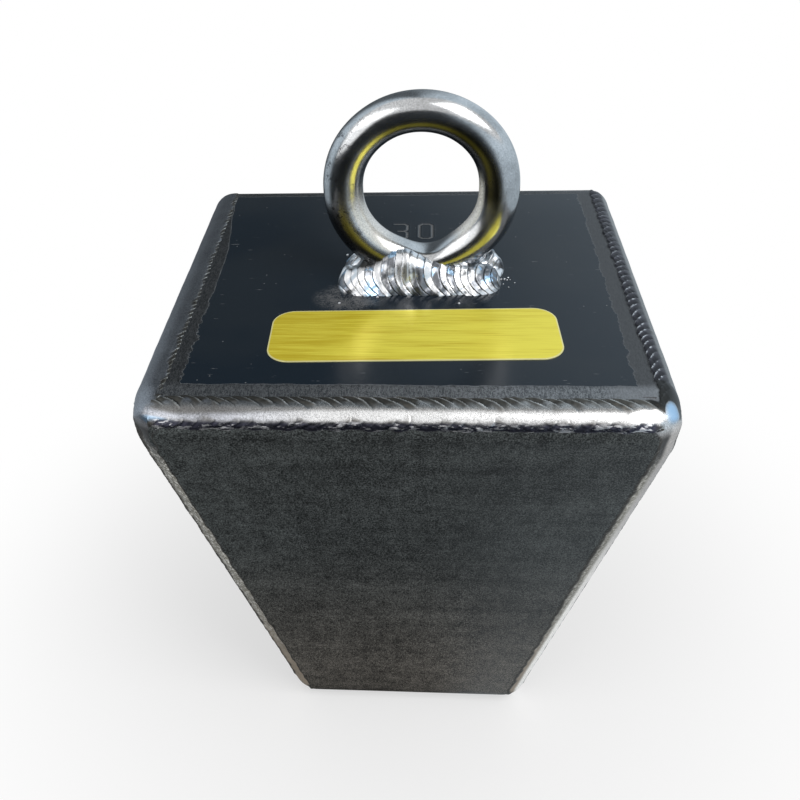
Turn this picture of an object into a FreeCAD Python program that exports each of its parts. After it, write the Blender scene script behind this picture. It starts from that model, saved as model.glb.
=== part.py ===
import FreeCAD, Part
import math
import os
import Sketcher
from FreeCAD import Placement, Rotation, Vector

# Pyramid anchor: a square, tapered box of quarter inch steel plate, wider at the top, filled with
# scrap steel and welded shut, with a round-bar lifting ring welded on top.
# The origin is at the middle of the bottom, +Z is up and the front, with the closing seam, faces -Y.

doc = FreeCAD.newDocument("pyramid_anchor")

# Driving sizes in millimetres and degrees: name, value, what it is.
SIZES = (
    ("top_span", "152.4", "width and depth of the body over its edge welds, at the top"),
    ("bottom_span", "86.2", "width and depth of the body over its edge welds, at the bottom"),
    ("body_height", "158.75", "from the floor to the top face of the top plate"),
    ("plate_thickness", "6.35", "gauge of the folded strip and of both side plates"),
    ("bend_radius", "4.0", "inside radius of the three bends of the strip"),
    ("root_gap", "3.2", "how far each plate stops short of a corner, for the weld to run into"),
    ("side_corner_radius", "7.0", "rounded corners of a side plate where the strip bends"),
    ("ring_bar", "12.7", "diameter of the ring's round bar"),
    ("ring_inside", "36.0", "clear width inside the ring"),
    ("ring_rise", "1.4", "straight stretch at each side, which makes the ring taller than wide"),
    ("ring_shift", "5.3", "how far the ring stands to the right of the middle"),
    ("ring_fit_up", "0.2", "height of the ring over the top plate before it is welded"),
    ("ripple_radius", "8.4", "radius of one ripple of the ring's weld"),
    ("ripple_fall", "0.9", "how much lower a ripple is at its leading edge"),
    ("ripple_width", "4.2", "thickness of one ripple"),
    ("ripple_pitch", "2.4", "travel of the weld from ripple to ripple"),
    ("ripple_count", "18", "ripples on each side of the ring"),
    ("ripple_lean", "24", "how far a ripple leans over along the weld"),
    ("bead_offset", "4.8", "from the ring's middle plane to the middle of a ripple"),
    ("bead_sink", "1.2", "how far the middle of a ripple lies under the top face"),
    ("label_length", "86.4", "length of the foil label"),
    ("label_width", "28.2", "width of the foil label"),
    ("label_thickness", "0.25", "thickness of the foil label with its adhesive"),
    ("label_corner", "7.0", "corner radius of the foil label"),
    ("label_shift", "3.2", "how far the label lies to the right of the middle"),
    ("label_setback", "35.9", "from the middle of the top to the middle of the label, forwards"),
    ("label_turn", "1.4", "how far the label is stuck on askew"),
    ("ballast_headspace", "9.0", "empty height left over the ballast"),
    ("ballast_clearance", "0.3", "room between the ballast and the walls"),
)

sheet = doc.addObject("Spreadsheet::Sheet", "sizes")
for row, (name, number, meaning) in enumerate(SIZES, start=1):
    sheet.set(f"A{row}", name)
    sheet.set(f"B{row}", number)
    sheet.setAlias(f"B{row}", name)
    sheet.set(f"C{row}", meaning)
doc.recompute()

# Expressions that several pieces share. The cavity is the space inside the plates: its walls lean
# outwards by the same taper on all four sides, and everything else is measured from it.
THICK = "sizes.plate_thickness"
CAVITY_TOP_HALF = f"(sizes.top_span / 2 - {THICK})"
CAVITY_BOTTOM_HALF = f"(sizes.bottom_span / 2 - {THICK})"
CAVITY_TOP = f"(sizes.body_height - {THICK})"
TAPER = f"(({CAVITY_TOP_HALF} - {CAVITY_BOTTOM_HALF}) / ({CAVITY_TOP} - {THICK}))"
SLANT = f"sqrt(1 + {TAPER} ^ 2)"
RING_TURN = "((sizes.ring_inside + sizes.ring_bar) / 2)"
RIPPLE_TRAVEL = "(sizes.ripple_pitch * (sizes.ripple_count - 1))"


def number(expression):
    """The present value of an expression of the sheet."""
    result = sheet.evalExpression(expression)
    return float(getattr(result, "Value", result))


def grown_outline(growth):
    """Corners of the cavity's upright section, grown by a distance measured square to each wall.

    They run front bottom, back bottom, back top, front top, as (across, up) pairs.
    """
    low = f"({THICK} - ({growth}))"
    high = f"({CAVITY_TOP} + ({growth}))"
    low_half = f"({CAVITY_BOTTOM_HALF} + ({growth}) * ({SLANT} - {TAPER}))"
    high_half = f"({CAVITY_TOP_HALF} + ({growth}) * ({SLANT} + {TAPER}))"
    return [(f"-{low_half}", low), (low_half, low), (high_half, high), (f"-{high_half}", high)]


def new_body(label):
    body = doc.addObject("PartDesign::Body", label)
    body.Label = label
    return body


def origin_feature(body, role):
    return next(item for item in body.Origin.OriginFeatures if item.Role == role)


def new_sketch(body, name, role):
    sketch = body.newObject("Sketcher::SketchObject", name)
    sketch.AttachmentSupport = [(origin_feature(body, role), "")]
    sketch.MapMode = "FlatFace"
    return sketch


def pin(sketch, geometry, axis, expression, name):
    """Ties one coordinate of the start of a line to an expression."""
    value = number(expression)
    row = sketch.addConstraint(Sketcher.Constraint(f"Distance{axis}", -1, 1, geometry, 1, value))
    sketch.renameConstraint(row, name)
    sketch.setExpression(f"Constraints.{name}", expression)


def draw_loop(sketch, corners):
    """Draws a closed loop of straight lines whose corners are (across, up) expressions."""
    first = sketch.GeometryCount
    points = [Vector(number(across), number(up), 0) for across, up in corners]
    count = len(points)
    for index in range(count):
        sketch.addGeometry(Part.LineSegment(points[index], points[(index + 1) % count]))
    for index in range(count):
        following = first + (index + 1) % count
        sketch.addConstraint(Sketcher.Constraint("Coincident", first + index, 2, following, 1))
    for index, (across, up) in enumerate(corners):
        pin(sketch, first + index, "X", across, f"across{first + index}")
        pin(sketch, first + index, "Y", up, f"up{first + index}")


def outline(body, name, role, *loops):
    sketch = new_sketch(body, name, role)
    for corners in loops:
        draw_loop(sketch, corners)
    return sketch


def pad(body, sketch, name, length, both_ways=False):
    feature = body.newObject("PartDesign::Pad", name)
    feature.Profile = sketch
    feature.Midplane = both_ways
    feature.setExpression("Length", length)
    doc.recompute()
    return feature


def pocket_through(body, sketch, name):
    """Cuts a sketch right through the body, both ways from its plane."""
    feature = body.newObject("PartDesign::Pocket", name)
    feature.Profile = sketch
    feature.Midplane = True
    feature.Type = "Length"
    feature.setExpression("Length", "3 * sizes.top_span")
    doc.recompute()
    return feature


def edges_along(shape, direction, places):
    """Names of the straight edges that run along a direction through the given places."""
    names = []
    for index, edge in enumerate(shape.Edges, start=1):
        if not isinstance(edge.Curve, Part.Line):
            continue
        if abs(edge.Curve.Direction.dot(direction)) < 0.9999:
            continue
        for place in places:
            offset = edge.Curve.Location - place
            offset -= direction * offset.dot(direction)
            if offset.Length < 0.01:
                names.append(f"Edge{index}")
                break
    return names


def round_edges(body, base, name, direction, places, radius):
    feature = body.newObject("PartDesign::Fillet", name)
    feature.Base = (base, edges_along(base.Shape, direction, places))
    feature.setExpression("Radius", radius)
    doc.recompute()
    return feature


def bend_places(corners):
    """The three corners at which the strip is folded: all but the front top one."""
    return [Vector(0, number(across), number(up)) for across, up in corners[:3]]


def taper_cut(body, name, inset):
    """Trims a body to the taper of the two sides, set in from the side plates' inner faces."""
    beyond = f"3 * {THICK}"
    low_half = f"({CAVITY_BOTTOM_HALF} - {beyond} * {TAPER} - ({inset}) * {SLANT})"
    high_half = f"({CAVITY_TOP_HALF} + {beyond} * {TAPER} - ({inset}) * {SLANT})"
    low = f"({THICK} - {beyond})"
    high = f"({CAVITY_TOP} + {beyond})"
    keep = [(f"-{low_half}", low), (low_half, low), (high_half, high), (f"-{high_half}", high)]
    far = "(3 * sizes.top_span)"
    around = [(f"-{far}", f"-{far}"), (far, f"-{far}"), (far, far), (f"-{far}", far)]
    return pocket_through(body, outline(body, f"{name}_outline", "XZ_Plane", around, keep), name)


def upright_prism(label, corners, length):
    """A body with an upright section in the front-to-back direction, padded both ways across."""
    body = new_body(label)
    pad(body, outline(body, f"{label}_outline", "YZ_Plane", corners), f"{label}_pad", length, True)
    return body


def make_cavity():
    """The space inside the plates, which the ballast and the welds are shaped from."""
    corners = grown_outline("0")
    body = upright_prism("cavity", corners, "2 * sizes.top_span")
    round_edges(body, body.Tip, "cavity_bends", Vector(1, 0, 0), bend_places(corners),
                "sizes.bend_radius")
    taper_cut(body, "cavity_sides", "0")
    return body


def make_folded_shell():
    """One strip of plate folded three times: top, back, bottom and front, open at the seam."""
    outer = grown_outline(THICK)
    inner = grown_outline("0")
    body = upright_prism("folded_shell", outer, "2 * sizes.top_span")
    round_edges(body, body.Tip, "outer_bends", Vector(1, 0, 0), bend_places(outer),
                f"sizes.bend_radius + {THICK}")
    hollow = pocket_through(body, outline(body, "hollow_outline", "YZ_Plane", inner), "hollow")
    round_edges(body, hollow, "inner_bends", Vector(1, 0, 0), bend_places(inner),
                "sizes.bend_radius")
    # The strip's two ends, each square to its own panel, leave a groove along the front top edge.
    corner_y, corner_z = f"(-{CAVITY_TOP_HALF})", CAVITY_TOP
    roof_y = f"({corner_y} + sizes.root_gap)"
    front_y = f"({corner_y} + sizes.root_gap * {TAPER} / {SLANT})"
    front_z = f"({corner_z} - sizes.root_gap / {SLANT})"
    reach = f"(3 * {THICK})"
    groove = [(roof_y, corner_z), (corner_y, corner_z), (front_y, front_z),
              (f"({front_y} - {reach} / {SLANT})", f"({front_z} - {reach} * {TAPER} / {SLANT})"),
              (f"({corner_y} - {reach})", f"({corner_z} + {reach})"),
              (roof_y, f"({corner_z} + {reach})")]
    pocket_through(body, outline(body, "seam_groove_outline", "YZ_Plane", groove), "seam_groove")
    taper_cut(body, "strip_sides", "sizes.root_gap")
    return body


def make_side_plate(label, side):
    """A flat trapezoid of plate, side -1 for the left and +1 for the right, padded outwards.

    Its outline is the cavity's wall, measured along the slope and set back all round by the root
    gap. The wall's own edges lean by the sine of the taper, because the wall is drawn unfolded.
    """
    body = new_body(label)
    lean = f"({TAPER} / {SLANT})"
    trim = f"(sizes.root_gap * sqrt(1 + {lean} ^ 2))"
    low = "sizes.root_gap"
    high = f"(({CAVITY_TOP} - {THICK}) * {SLANT} - sizes.root_gap)"
    low_half = f"({CAVITY_BOTTOM_HALF} + sizes.root_gap * {lean} - {trim})"
    high_half = f"({CAVITY_TOP_HALF} - sizes.root_gap * {lean} - {trim})"
    corners = [(f"-{low_half}", low), (low_half, low), (high_half, high), (f"-{high_half}", high)]
    plate = pad(body, outline(body, f"{label}_outline", "XY_Plane", corners), f"{label}_pad", THICK)
    # The corner at the seam, which is the front top one, stays sharp.
    sharp = 3 if side > 0 else 2
    rounded = [Vector(number(across), number(up), 0)
               for index, (across, up) in enumerate(corners) if index != sharp]
    round_edges(body, plate, f"{label}_corners", Vector(0, 0, 1), rounded,
                "sizes.side_corner_radius")
    body.setExpression("Placement.Base.x", f"{side} * {CAVITY_BOTTOM_HALF}")
    body.setExpression("Placement.Base.z", THICK)
    body.Placement.Rotation = Rotation(side * 90, 0, 90 + math.degrees(math.atan(number(TAPER))))
    return body


def cut(name, base, tool):
    feature = doc.addObject("Part::Cut", name)
    feature.Base = base
    feature.Tool = tool
    return feature


def common(name, *shapes):
    feature = doc.addObject("Part::MultiCommon", name)
    feature.Shapes = list(shapes)
    return feature


def fuse(name, *shapes):
    feature = doc.addObject("Part::MultiFuse", name)
    feature.Shapes = list(shapes)
    return feature


def block(name, low, high):
    """A box between two corners given as expressions."""
    feature = doc.addObject("Part::Box", name)
    for size, axis, start, end in zip(("Length", "Width", "Height"), "xyz", low, high):
        feature.setExpression(f"Placement.Base.{axis}", start)
        feature.setExpression(size, f"({end}) - ({start})")
    return feature


def make_seam_welds(cavity, plates):
    """Fills every open corner between the plates up to a crown as round as the plate is thick.

    The envelope is the cavity grown by the plate's thickness, with rounded edges. What the plates
    and the cavity leave of it is weld metal. It is shared out among the edges at mitre planes.
    """
    envelope = doc.addObject("Part::Offset", "envelope")
    envelope.Source = cavity
    envelope.setExpression("Value", THICK)
    envelope.Join = "Arc"
    metal = cut("weld_metal", envelope, fuse("plates_and_cavity", cavity, *plates))

    between = upright_prism("between_strip_edges", grown_outline(f"2 * {THICK}"), "2 * sizes.top_span")
    taper_cut(between, "between_sides", "sizes.root_gap")
    welds = [common("top_front_seam_weld", metal, between)]
    side_metal = cut("side_weld_metal", metal, between)

    inner = grown_outline(f"-2 * {THICK}")
    outer = grown_outline(f"2 * {THICK}")
    edges = ("bottom", "back", "top", "front")
    for index, edge in enumerate(edges):
        following = (index + 1) % len(edges)
        sector = [inner[index], inner[following], outer[following], outer[index]]
        for side, leftwards in (("left", True), ("right", False)):
            label = f"{side}_{edge}"
            region = new_body(f"{label}_sector")
            sketch = outline(region, f"{label}_sector_outline", "YZ_Plane", sector)
            pad(region, sketch, f"{label}_sector_pad", "sizes.top_span").Reversed = leftwards
            welds.append(common(f"{label}_weld", side_metal, region))
    return welds


def make_ring():
    """A closed round-bar ring standing on the top plate: two half turns and two short straights."""
    low = f"(sizes.body_height + sizes.ring_fit_up + sizes.ring_bar / 2 + {RING_TURN})"
    high = f"({low} + sizes.ring_rise)"
    pieces = []
    for name, height, turned in (("ring_bottom", low, 180), ("ring_top", high, 0)):
        half = doc.addObject("Part::Torus", name)
        half.setExpression("Radius1", RING_TURN)
        half.setExpression("Radius2", "sizes.ring_bar / 2")
        half.Angle3 = 180
        half.Placement.Rotation = Rotation(0, turned, 90)
        half.setExpression("Placement.Base.x", "sizes.ring_shift")
        half.setExpression("Placement.Base.z", height)
        pieces.append(half)
    for name, sign in (("ring_left", -1), ("ring_right", 1)):
        straight = doc.addObject("Part::Cylinder", name)
        straight.setExpression("Radius", "sizes.ring_bar / 2")
        straight.setExpression("Height", "sizes.ring_rise")
        straight.setExpression("Placement.Base.x", f"sizes.ring_shift + {sign} * {RING_TURN}")
        straight.setExpression("Placement.Base.z", low)
        pieces.append(straight)
    ring = fuse("lifting_ring", *pieces)
    ring.Refine = True
    return ring


def make_ring_weld(label, side, ring):
    """A row of leaning, overlapping ripples in the corner between the ring and the top plate.

    Each ripple is a disc with a sloping rim, laid on the one before it like a row of fallen coins.
    Side -1 is the weld in front of the ring and +1 the one behind it, turned half round.
    """
    body = new_body(f"{label}_ripples")
    sketch = new_sketch(body, f"{label}_ripple", "XY_Plane")
    sketch.AttachmentOffset = Placement(Vector(), Rotation(Vector(0, 0, 1), 1))
    sketch.setExpression("AttachmentOffset.Rotation.Angle", "sizes.ripple_lean")
    doc.recompute()
    trailing, leading = "(-sizes.ripple_width / 2)", "(sizes.ripple_width / 2)"
    draw_loop(sketch, [(trailing, "0"), (leading, "0"),
                       (leading, "(sizes.ripple_radius - sizes.ripple_fall)"),
                       (trailing, "sizes.ripple_radius")])
    ripple = body.newObject("PartDesign::Revolution", f"{label}_first_ripple")
    ripple.Profile = sketch
    ripple.ReferenceAxis = (sketch, ["H_Axis"])
    ripple.Angle = 360
    doc.recompute()
    row = body.newObject("PartDesign::LinearPattern", f"{label}_row")
    row.Originals = [ripple]
    row.Direction = (origin_feature(body, "X_Axis"), [""])
    row.setExpression("Length", RIPPLE_TRAVEL)
    row.setExpression("Occurrences", "sizes.ripple_count")
    body.Tip = row
    body.Placement.Rotation = Rotation(Vector(0, 0, 1), 90 + 90 * side)
    body.setExpression("Placement.Base.x", f"sizes.ring_shift + {side} * {RIPPLE_TRAVEL} / 2")
    body.setExpression("Placement.Base.y", f"{side} * sizes.bead_offset")
    body.setExpression("Placement.Base.z", "sizes.body_height - sizes.bead_sink")
    reach = "sizes.top_span / 2"
    near, far = (f"-{reach}", "0") if side < 0 else ("0", reach)
    above = block(f"{label}_space", (f"-{reach}", near, "sizes.body_height"),
                  (reach, far, f"sizes.body_height + {reach}"))
    return common(label, cut(f"{label}_round_the_ring", body, ring), above)


def make_ballast(cavity):
    """The packed scrap, as one block that fills the cavity up to the headspace."""
    fill = doc.addObject("Part::Offset", "cavity_less_clearance")
    fill.Source = cavity
    fill.setExpression("Value", "-sizes.ballast_clearance")
    fill.Join = "Arc"
    reach = "sizes.top_span"
    below = block("below_the_headspace", (f"-{reach}", f"-{reach}", "0"),
                  (reach, reach, f"{CAVITY_TOP} - sizes.ballast_headspace"))
    return common("ballast_fill", fill, below)


def make_label():
    """The foil label: a thin rounded rectangle stuck to the top plate in front of the ring."""
    body = new_body("foil_label")
    half_length, half_width = "(sizes.label_length / 2)", "(sizes.label_width / 2)"
    corners = [(f"-{half_length}", f"-{half_width}"), (half_length, f"-{half_width}"),
               (half_length, half_width), (f"-{half_length}", half_width)]
    foil = pad(body, outline(body, "label_outline", "XY_Plane", corners), "label_pad",
               "sizes.label_thickness")
    places = [Vector(number(across), number(up), 0) for across, up in corners]
    round_edges(body, foil, "label_corners", Vector(0, 0, 1), places, "sizes.label_corner")
    body.setExpression("Placement.Base.x", "sizes.label_shift")
    body.setExpression("Placement.Base.y", "-sizes.label_setback")
    body.setExpression("Placement.Base.z", "sizes.body_height")
    body.Placement.Rotation = Rotation(number("sizes.label_turn"), 0, 0)
    return body


def check_objects():
    """Stops if any object failed or a solid is missing or invalid."""
    for item in doc.Objects:
        if "Invalid" in item.State or "Error" in item.State:
            raise RuntimeError(f"{item.Name} did not compute: {item.State}")


def export(nodes):
    os.makedirs("parts", exist_ok=True)
    for node in nodes:
        if node.Shape.isNull() or not node.Shape.isValid() or len(node.Shape.Solids) != 1:
            raise RuntimeError(f"{node.Label} is not one valid solid")
        node.Shape.exportStep(f"parts/{node.Label}.step")
        print(f"{node.Label}: {node.Shape.Volume / 1000:.2f} cubic cm")


cavity = make_cavity()
folded_shell = make_folded_shell()
left_side_plate = make_side_plate("left_side_plate", -1)
right_side_plate = make_side_plate("right_side_plate", 1)
seam_welds = make_seam_welds(cavity, (folded_shell, left_side_plate, right_side_plate))
lifting_ring = make_ring()
ring_weld_front = make_ring_weld("ring_weld_front", -1, lifting_ring)
ring_weld_rear = make_ring_weld("ring_weld_rear", 1, lifting_ring)
ballast_fill = make_ballast(cavity)
foil_label = make_label()
doc.recompute()
check_objects()
export([folded_shell, left_side_plate, right_side_plate, *seam_welds, lifting_ring,
        ring_weld_front, ring_weld_rear, ballast_fill, foil_label])
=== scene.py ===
"""Looks of the pyramid anchor: its plates, weld beads, lifting ring, label and a plain studio.

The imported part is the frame. Each piece made here is a surface worked out over a grid, and all but
the spatter stand for the nodes of the same place. Sizes are in metres, +Z is up and the front, with
the closing seam, is -Y.
"""

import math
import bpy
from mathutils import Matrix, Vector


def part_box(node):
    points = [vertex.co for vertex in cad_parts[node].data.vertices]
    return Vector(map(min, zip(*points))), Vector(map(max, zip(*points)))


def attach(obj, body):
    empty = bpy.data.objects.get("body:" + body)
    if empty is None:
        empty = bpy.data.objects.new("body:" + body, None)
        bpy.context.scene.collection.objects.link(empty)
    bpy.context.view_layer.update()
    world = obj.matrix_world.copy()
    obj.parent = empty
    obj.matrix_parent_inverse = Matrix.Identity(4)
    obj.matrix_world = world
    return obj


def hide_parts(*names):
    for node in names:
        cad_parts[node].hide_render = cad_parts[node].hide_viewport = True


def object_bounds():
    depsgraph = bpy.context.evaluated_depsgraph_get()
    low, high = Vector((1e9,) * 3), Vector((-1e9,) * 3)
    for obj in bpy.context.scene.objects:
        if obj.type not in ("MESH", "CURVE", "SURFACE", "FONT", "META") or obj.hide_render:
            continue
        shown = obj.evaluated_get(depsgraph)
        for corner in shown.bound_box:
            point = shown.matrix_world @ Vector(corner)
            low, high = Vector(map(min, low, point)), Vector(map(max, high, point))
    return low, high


bl_info = {
    "name": "Pyramid anchor",
    "version": (1, 0, 0),
    "blender": (4, 5, 0),
    "location": "3D Viewport > Sidebar > Anchor",
    "description": "Plates, weld beads, lifting ring, label and studio of a pyramid anchor",
    "category": "Add Mesh",
}

from typing import NamedTuple

import bpy
import numpy as np
from bpy.props import FloatProperty, FloatVectorProperty, IntProperty, PointerProperty
from mathutils import Matrix, Vector

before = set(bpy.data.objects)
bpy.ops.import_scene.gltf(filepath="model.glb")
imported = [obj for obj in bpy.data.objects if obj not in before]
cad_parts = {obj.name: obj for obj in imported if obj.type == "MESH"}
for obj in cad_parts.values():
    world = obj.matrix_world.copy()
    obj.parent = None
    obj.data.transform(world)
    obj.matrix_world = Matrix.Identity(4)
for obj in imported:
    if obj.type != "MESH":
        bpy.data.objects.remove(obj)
CAD_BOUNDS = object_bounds()
SHELL_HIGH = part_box("folded_shell")[1]
RING_LOW, RING_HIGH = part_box("lifting_ring")
LABEL_LOW, LABEL_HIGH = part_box("foil_label")

MM = 0.001
# The width that a bead's ripples bow over, and that its "over" attribute counts in.
BOW_REACH = 6 * MM


def length(name, default, description):
    """A size in metres that a user can change."""
    return FloatProperty(name=name, description=description, default=default, unit="LENGTH")


def colour(name, default, description):
    """A colour that a user can change."""
    return FloatVectorProperty(name=name, description=description, default=default,
                               subtype="COLOR", size=3, min=0, max=1)


class BodySizes(bpy.types.PropertyGroup):
    """The tapered box of plate, over the planes of its outer faces."""
    thickness: length("Plate thickness", 6.35 * MM, "Gauge of every plate")
    top_span: length("Top span", 152.4 * MM, "Width over the rounded edges at the top")
    bottom_span: length("Bottom span", 86.2 * MM, "Width over the rounded edges at the bottom")
    height: length("Height", SHELL_HIGH.z, "From the floor to the top face")
    root_gap: length("Root gap", 3.2 * MM, "How far each plate stops short of a corner")
    fold_round: length("Fold radius", 10.35 * MM, "Outside radius of the folded edges")
    top_round: length("Top edge radius", 7.3 * MM, "Radius of the welded edges round the top")
    side_round: length("Side edge radius", 9.35 * MM, "Radius of the slanting welded edges")
    worn: length("Worn corner", 2.2 * MM, "How far the front top corners are ground back")


class StampSizes(bpy.types.PropertyGroup):
    """The number struck into the top plate."""
    height: length("Figure height", 11.4 * MM, "Height of a figure to the middle of its strokes")
    width: length("Figure width", 4.6 * MM, "Width of a figure to the middle of its strokes")
    stroke: length("Stroke width", 0.85 * MM, "Width of the struck groove")
    depth: length("Depth", 0.28 * MM, "Depth of the struck groove")
    middle_x: length("Right shift", 2.35 * MM, "Middle of the number, to the right")
    middle_y: length("Backward shift", 33.2 * MM, "Middle of the number, to the back")
    spacing: length("Spacing", 8.9 * MM, "From one figure to the next")
    notch: length("Cut corner", 1.1 * MM, "How far the figures' corners are cut")


class BeadSizes(bpy.types.PropertyGroup):
    """The weld beads along the edges of the box."""
    ground: length("Ground level", 0.33 * MM, "Height of a bead's crown after it is ground")
    toe: length("Toe", 0.8 * MM, "How far in from its edge a bead is up to its height")
    band: length("Ripple band", 2.3 * MM, "Width of the ripples left beside the crown")
    pitch: length("Ripple pitch", 2.5 * MM, "Travel from ripple to ripple")
    bow: length("Ripple bow", 3.0 * MM, "How far a ripple trails at its toe, or 6 mm out")
    ripple: length("Ripple depth", 0.34 * MM, "Depth of the ripples")
    reach: length("Reach", 12.0 * MM, "Width of plate that a bead's mesh covers beside it")


class RingSizes(bpy.types.PropertyGroup):
    """The lifting ring of round bar and its welds."""
    bar: length("Bar", RING_HIGH.y - RING_LOW.y, "Diameter of the round bar")
    rise: length("Rise", (RING_HIGH.z - RING_LOW.z) - (RING_HIGH.x - RING_LOW.x),
                 "Straight stretch at each side")
    pitch: length("Ripple pitch", 2.35 * MM, "Travel from ripple to ripple")
    radius: length("Bead radius", 8.4 * MM, "Radius of the weld bead's section")
    offset: length("Bead offset", 4.8 * MM, "From the ring's plane to the middle of the bead")
    sink: length("Bead sink", 1.2 * MM, "How far the middle of the bead lies under the top face")
    left_end: length("Left end", -22.0 * MM, "Where the front bead starts")
    right_end: length("Right end", 31.0 * MM, "Where the front bead ends")
    ripple: length("Ripple depth", 0.55 * MM, "Depth of the ripples")
    sweep: length("Ripple sweep", 5.0 * MM, "How far a ripple trails one radian down the bead")
    climb: length("Climb", 5.6 * MM, "How far the front weld climbs the ring in the middle")
    hollow: length("Melted foot", 2.0 * MM, "How deep the ring's foot is melted inside")


class LabelSizes(bpy.types.PropertyGroup):
    """The foil label."""
    corner: length("Corner radius", 7.0 * MM, "Radius of the label's corners")
    rim: length("Cut edge", 0.35 * MM, "Width of the pale edge")
    turn: FloatProperty(name="Turn", description="How far the label is stuck on askew",
                        default=math.radians(1.4), unit="ROTATION")


class AnchorColours(bpy.types.PropertyGroup):
    """Colours of the finishes."""
    scale: colour("Mill scale", (0.005, 0.0115, 0.020), "Blue-black skin of the rolled top plate")
    scale_dull: colour("Dull scale", (0.010, 0.016, 0.023), "Duller clouds in the mill scale")
    rolled: colour("Rolled plate", (0.042, 0.048, 0.048), "Grey of the rolled side faces")
    warm: colour("Warm rolled plate", (0.084, 0.078, 0.068), "Brownish cast low on the plates")
    ground: colour("Ground steel", (0.88, 0.88, 0.88), "Crown of the front bead, ground bright")
    # Painted shade: the crown's colour where it gets little painted light.
    dull: colour("Dull ground steel", (0.175, 0.17, 0.16), "Crown of the beads that are left dull")
    satin: colour("Satin steel", (0.15, 0.145, 0.125), "Slanting beads beside the front")
    rim: colour("Ripple rim", (0.80, 0.79, 0.76), "Raised rims of the ripples beside the crown")
    # Painted shade: a bluish dark on the ripples under the front crown.
    toe: colour("Bead toe", (0.12, 0.11, 0.095), "Ripples beside the ground crown")
    shaded_toe: colour("Dark toe", (0.048, 0.050, 0.075), "Blued ripples under the front crown")
    ring: colour("Ring bar", (0.64, 0.65, 0.66), "Drawn round bar")
    bead: colour("Fresh bead", (0.84, 0.85, 0.87), "Ripples of the ring's welds")
    heat: colour("Heat tint", (0.46, 0.68, 0.92), "Blue heat tint on the welds")
    foil: colour("Foil", (0.96, 0.86, 0.09), "Brushed gold foil of the label")
    foil_dark: colour("Foil streaks", (0.68, 0.53, 0.025), "Darker brush streaks of the foil")
    foil_edge: colour("Foil edge", (0.90, 0.86, 0.45), "Pale cut edge of the label")
    floor: colour("Floor", (0.86, 0.86, 0.86), "Studio floor")


class AnchorSettings(bpy.types.PropertyGroup):
    """All settings of the anchor."""
    body: PointerProperty(type=BodySizes)
    stamp: PointerProperty(type=StampSizes)
    bead: PointerProperty(type=BeadSizes)
    ring: PointerProperty(type=RingSizes)
    label: PointerProperty(type=LabelSizes)
    colours: PointerProperty(type=AnchorColours)
    seed: IntProperty(name="Seed", description="Start of the random ripples", default=7)


# Geometry that the pieces share.

def unit(vectors):
    """Vectors divided by their own length, along the last axis."""
    return vectors / np.maximum(np.linalg.norm(vectors, axis=-1, keepdims=True), 1e-12)


def smooth_step(value, low, high):
    """0 below low, 1 above high, and 3t^2 - 2t^3 between, where t is the share of the way."""
    share = np.clip((value - low) / (high - low), 0, 1)
    return share * share * (3 - 2 * share)


def wobble(points, scale, seed, waves=14):
    """Smooth noise near -1..1: the mean of seeded sine waves of about one wavelength."""
    random = np.random.default_rng(seed)
    directions = unit(random.normal(size=(waves, points.shape[-1])))
    rates = 2 * np.pi / (scale * random.uniform(0.6, 1.7, waves))
    phases = random.uniform(0, 2 * np.pi, waves)
    return np.sin(points @ (directions * rates[:, None]).T + phases).sum(-1) / math.sqrt(waves)


def rounded_pair(first, second, first_normal, second_normal, radius):
    """Signed distance and normal of two walls joined by a circular arc of one radius.

    `first` and `second` are the signed distances to the walls. With both walls set in by the
    radius, a point beyond both is measured from the line where they cross, in the skewed frame of
    the two normals. Any other point is measured from the nearer wall.
    """
    u, v = first + radius, second + radius
    lean = (first_normal * second_normal).sum(-1)
    a = (u - lean * v) / (1 - lean ** 2)
    b = (v - lean * u) / (1 - lean ** 2)
    in_arc = (a > 0) & (b > 0)
    reach = np.sqrt(np.maximum(a * u + b * v, 1e-16))
    distance = np.where(in_arc, reach, np.maximum(u, v)) - radius
    around = (a[..., None] * first_normal + b[..., None] * second_normal) / reach[..., None]
    nearer = np.where((u > v)[..., None], first_normal, second_normal)
    return distance, np.where(in_arc[..., None], around, nearer)


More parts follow.
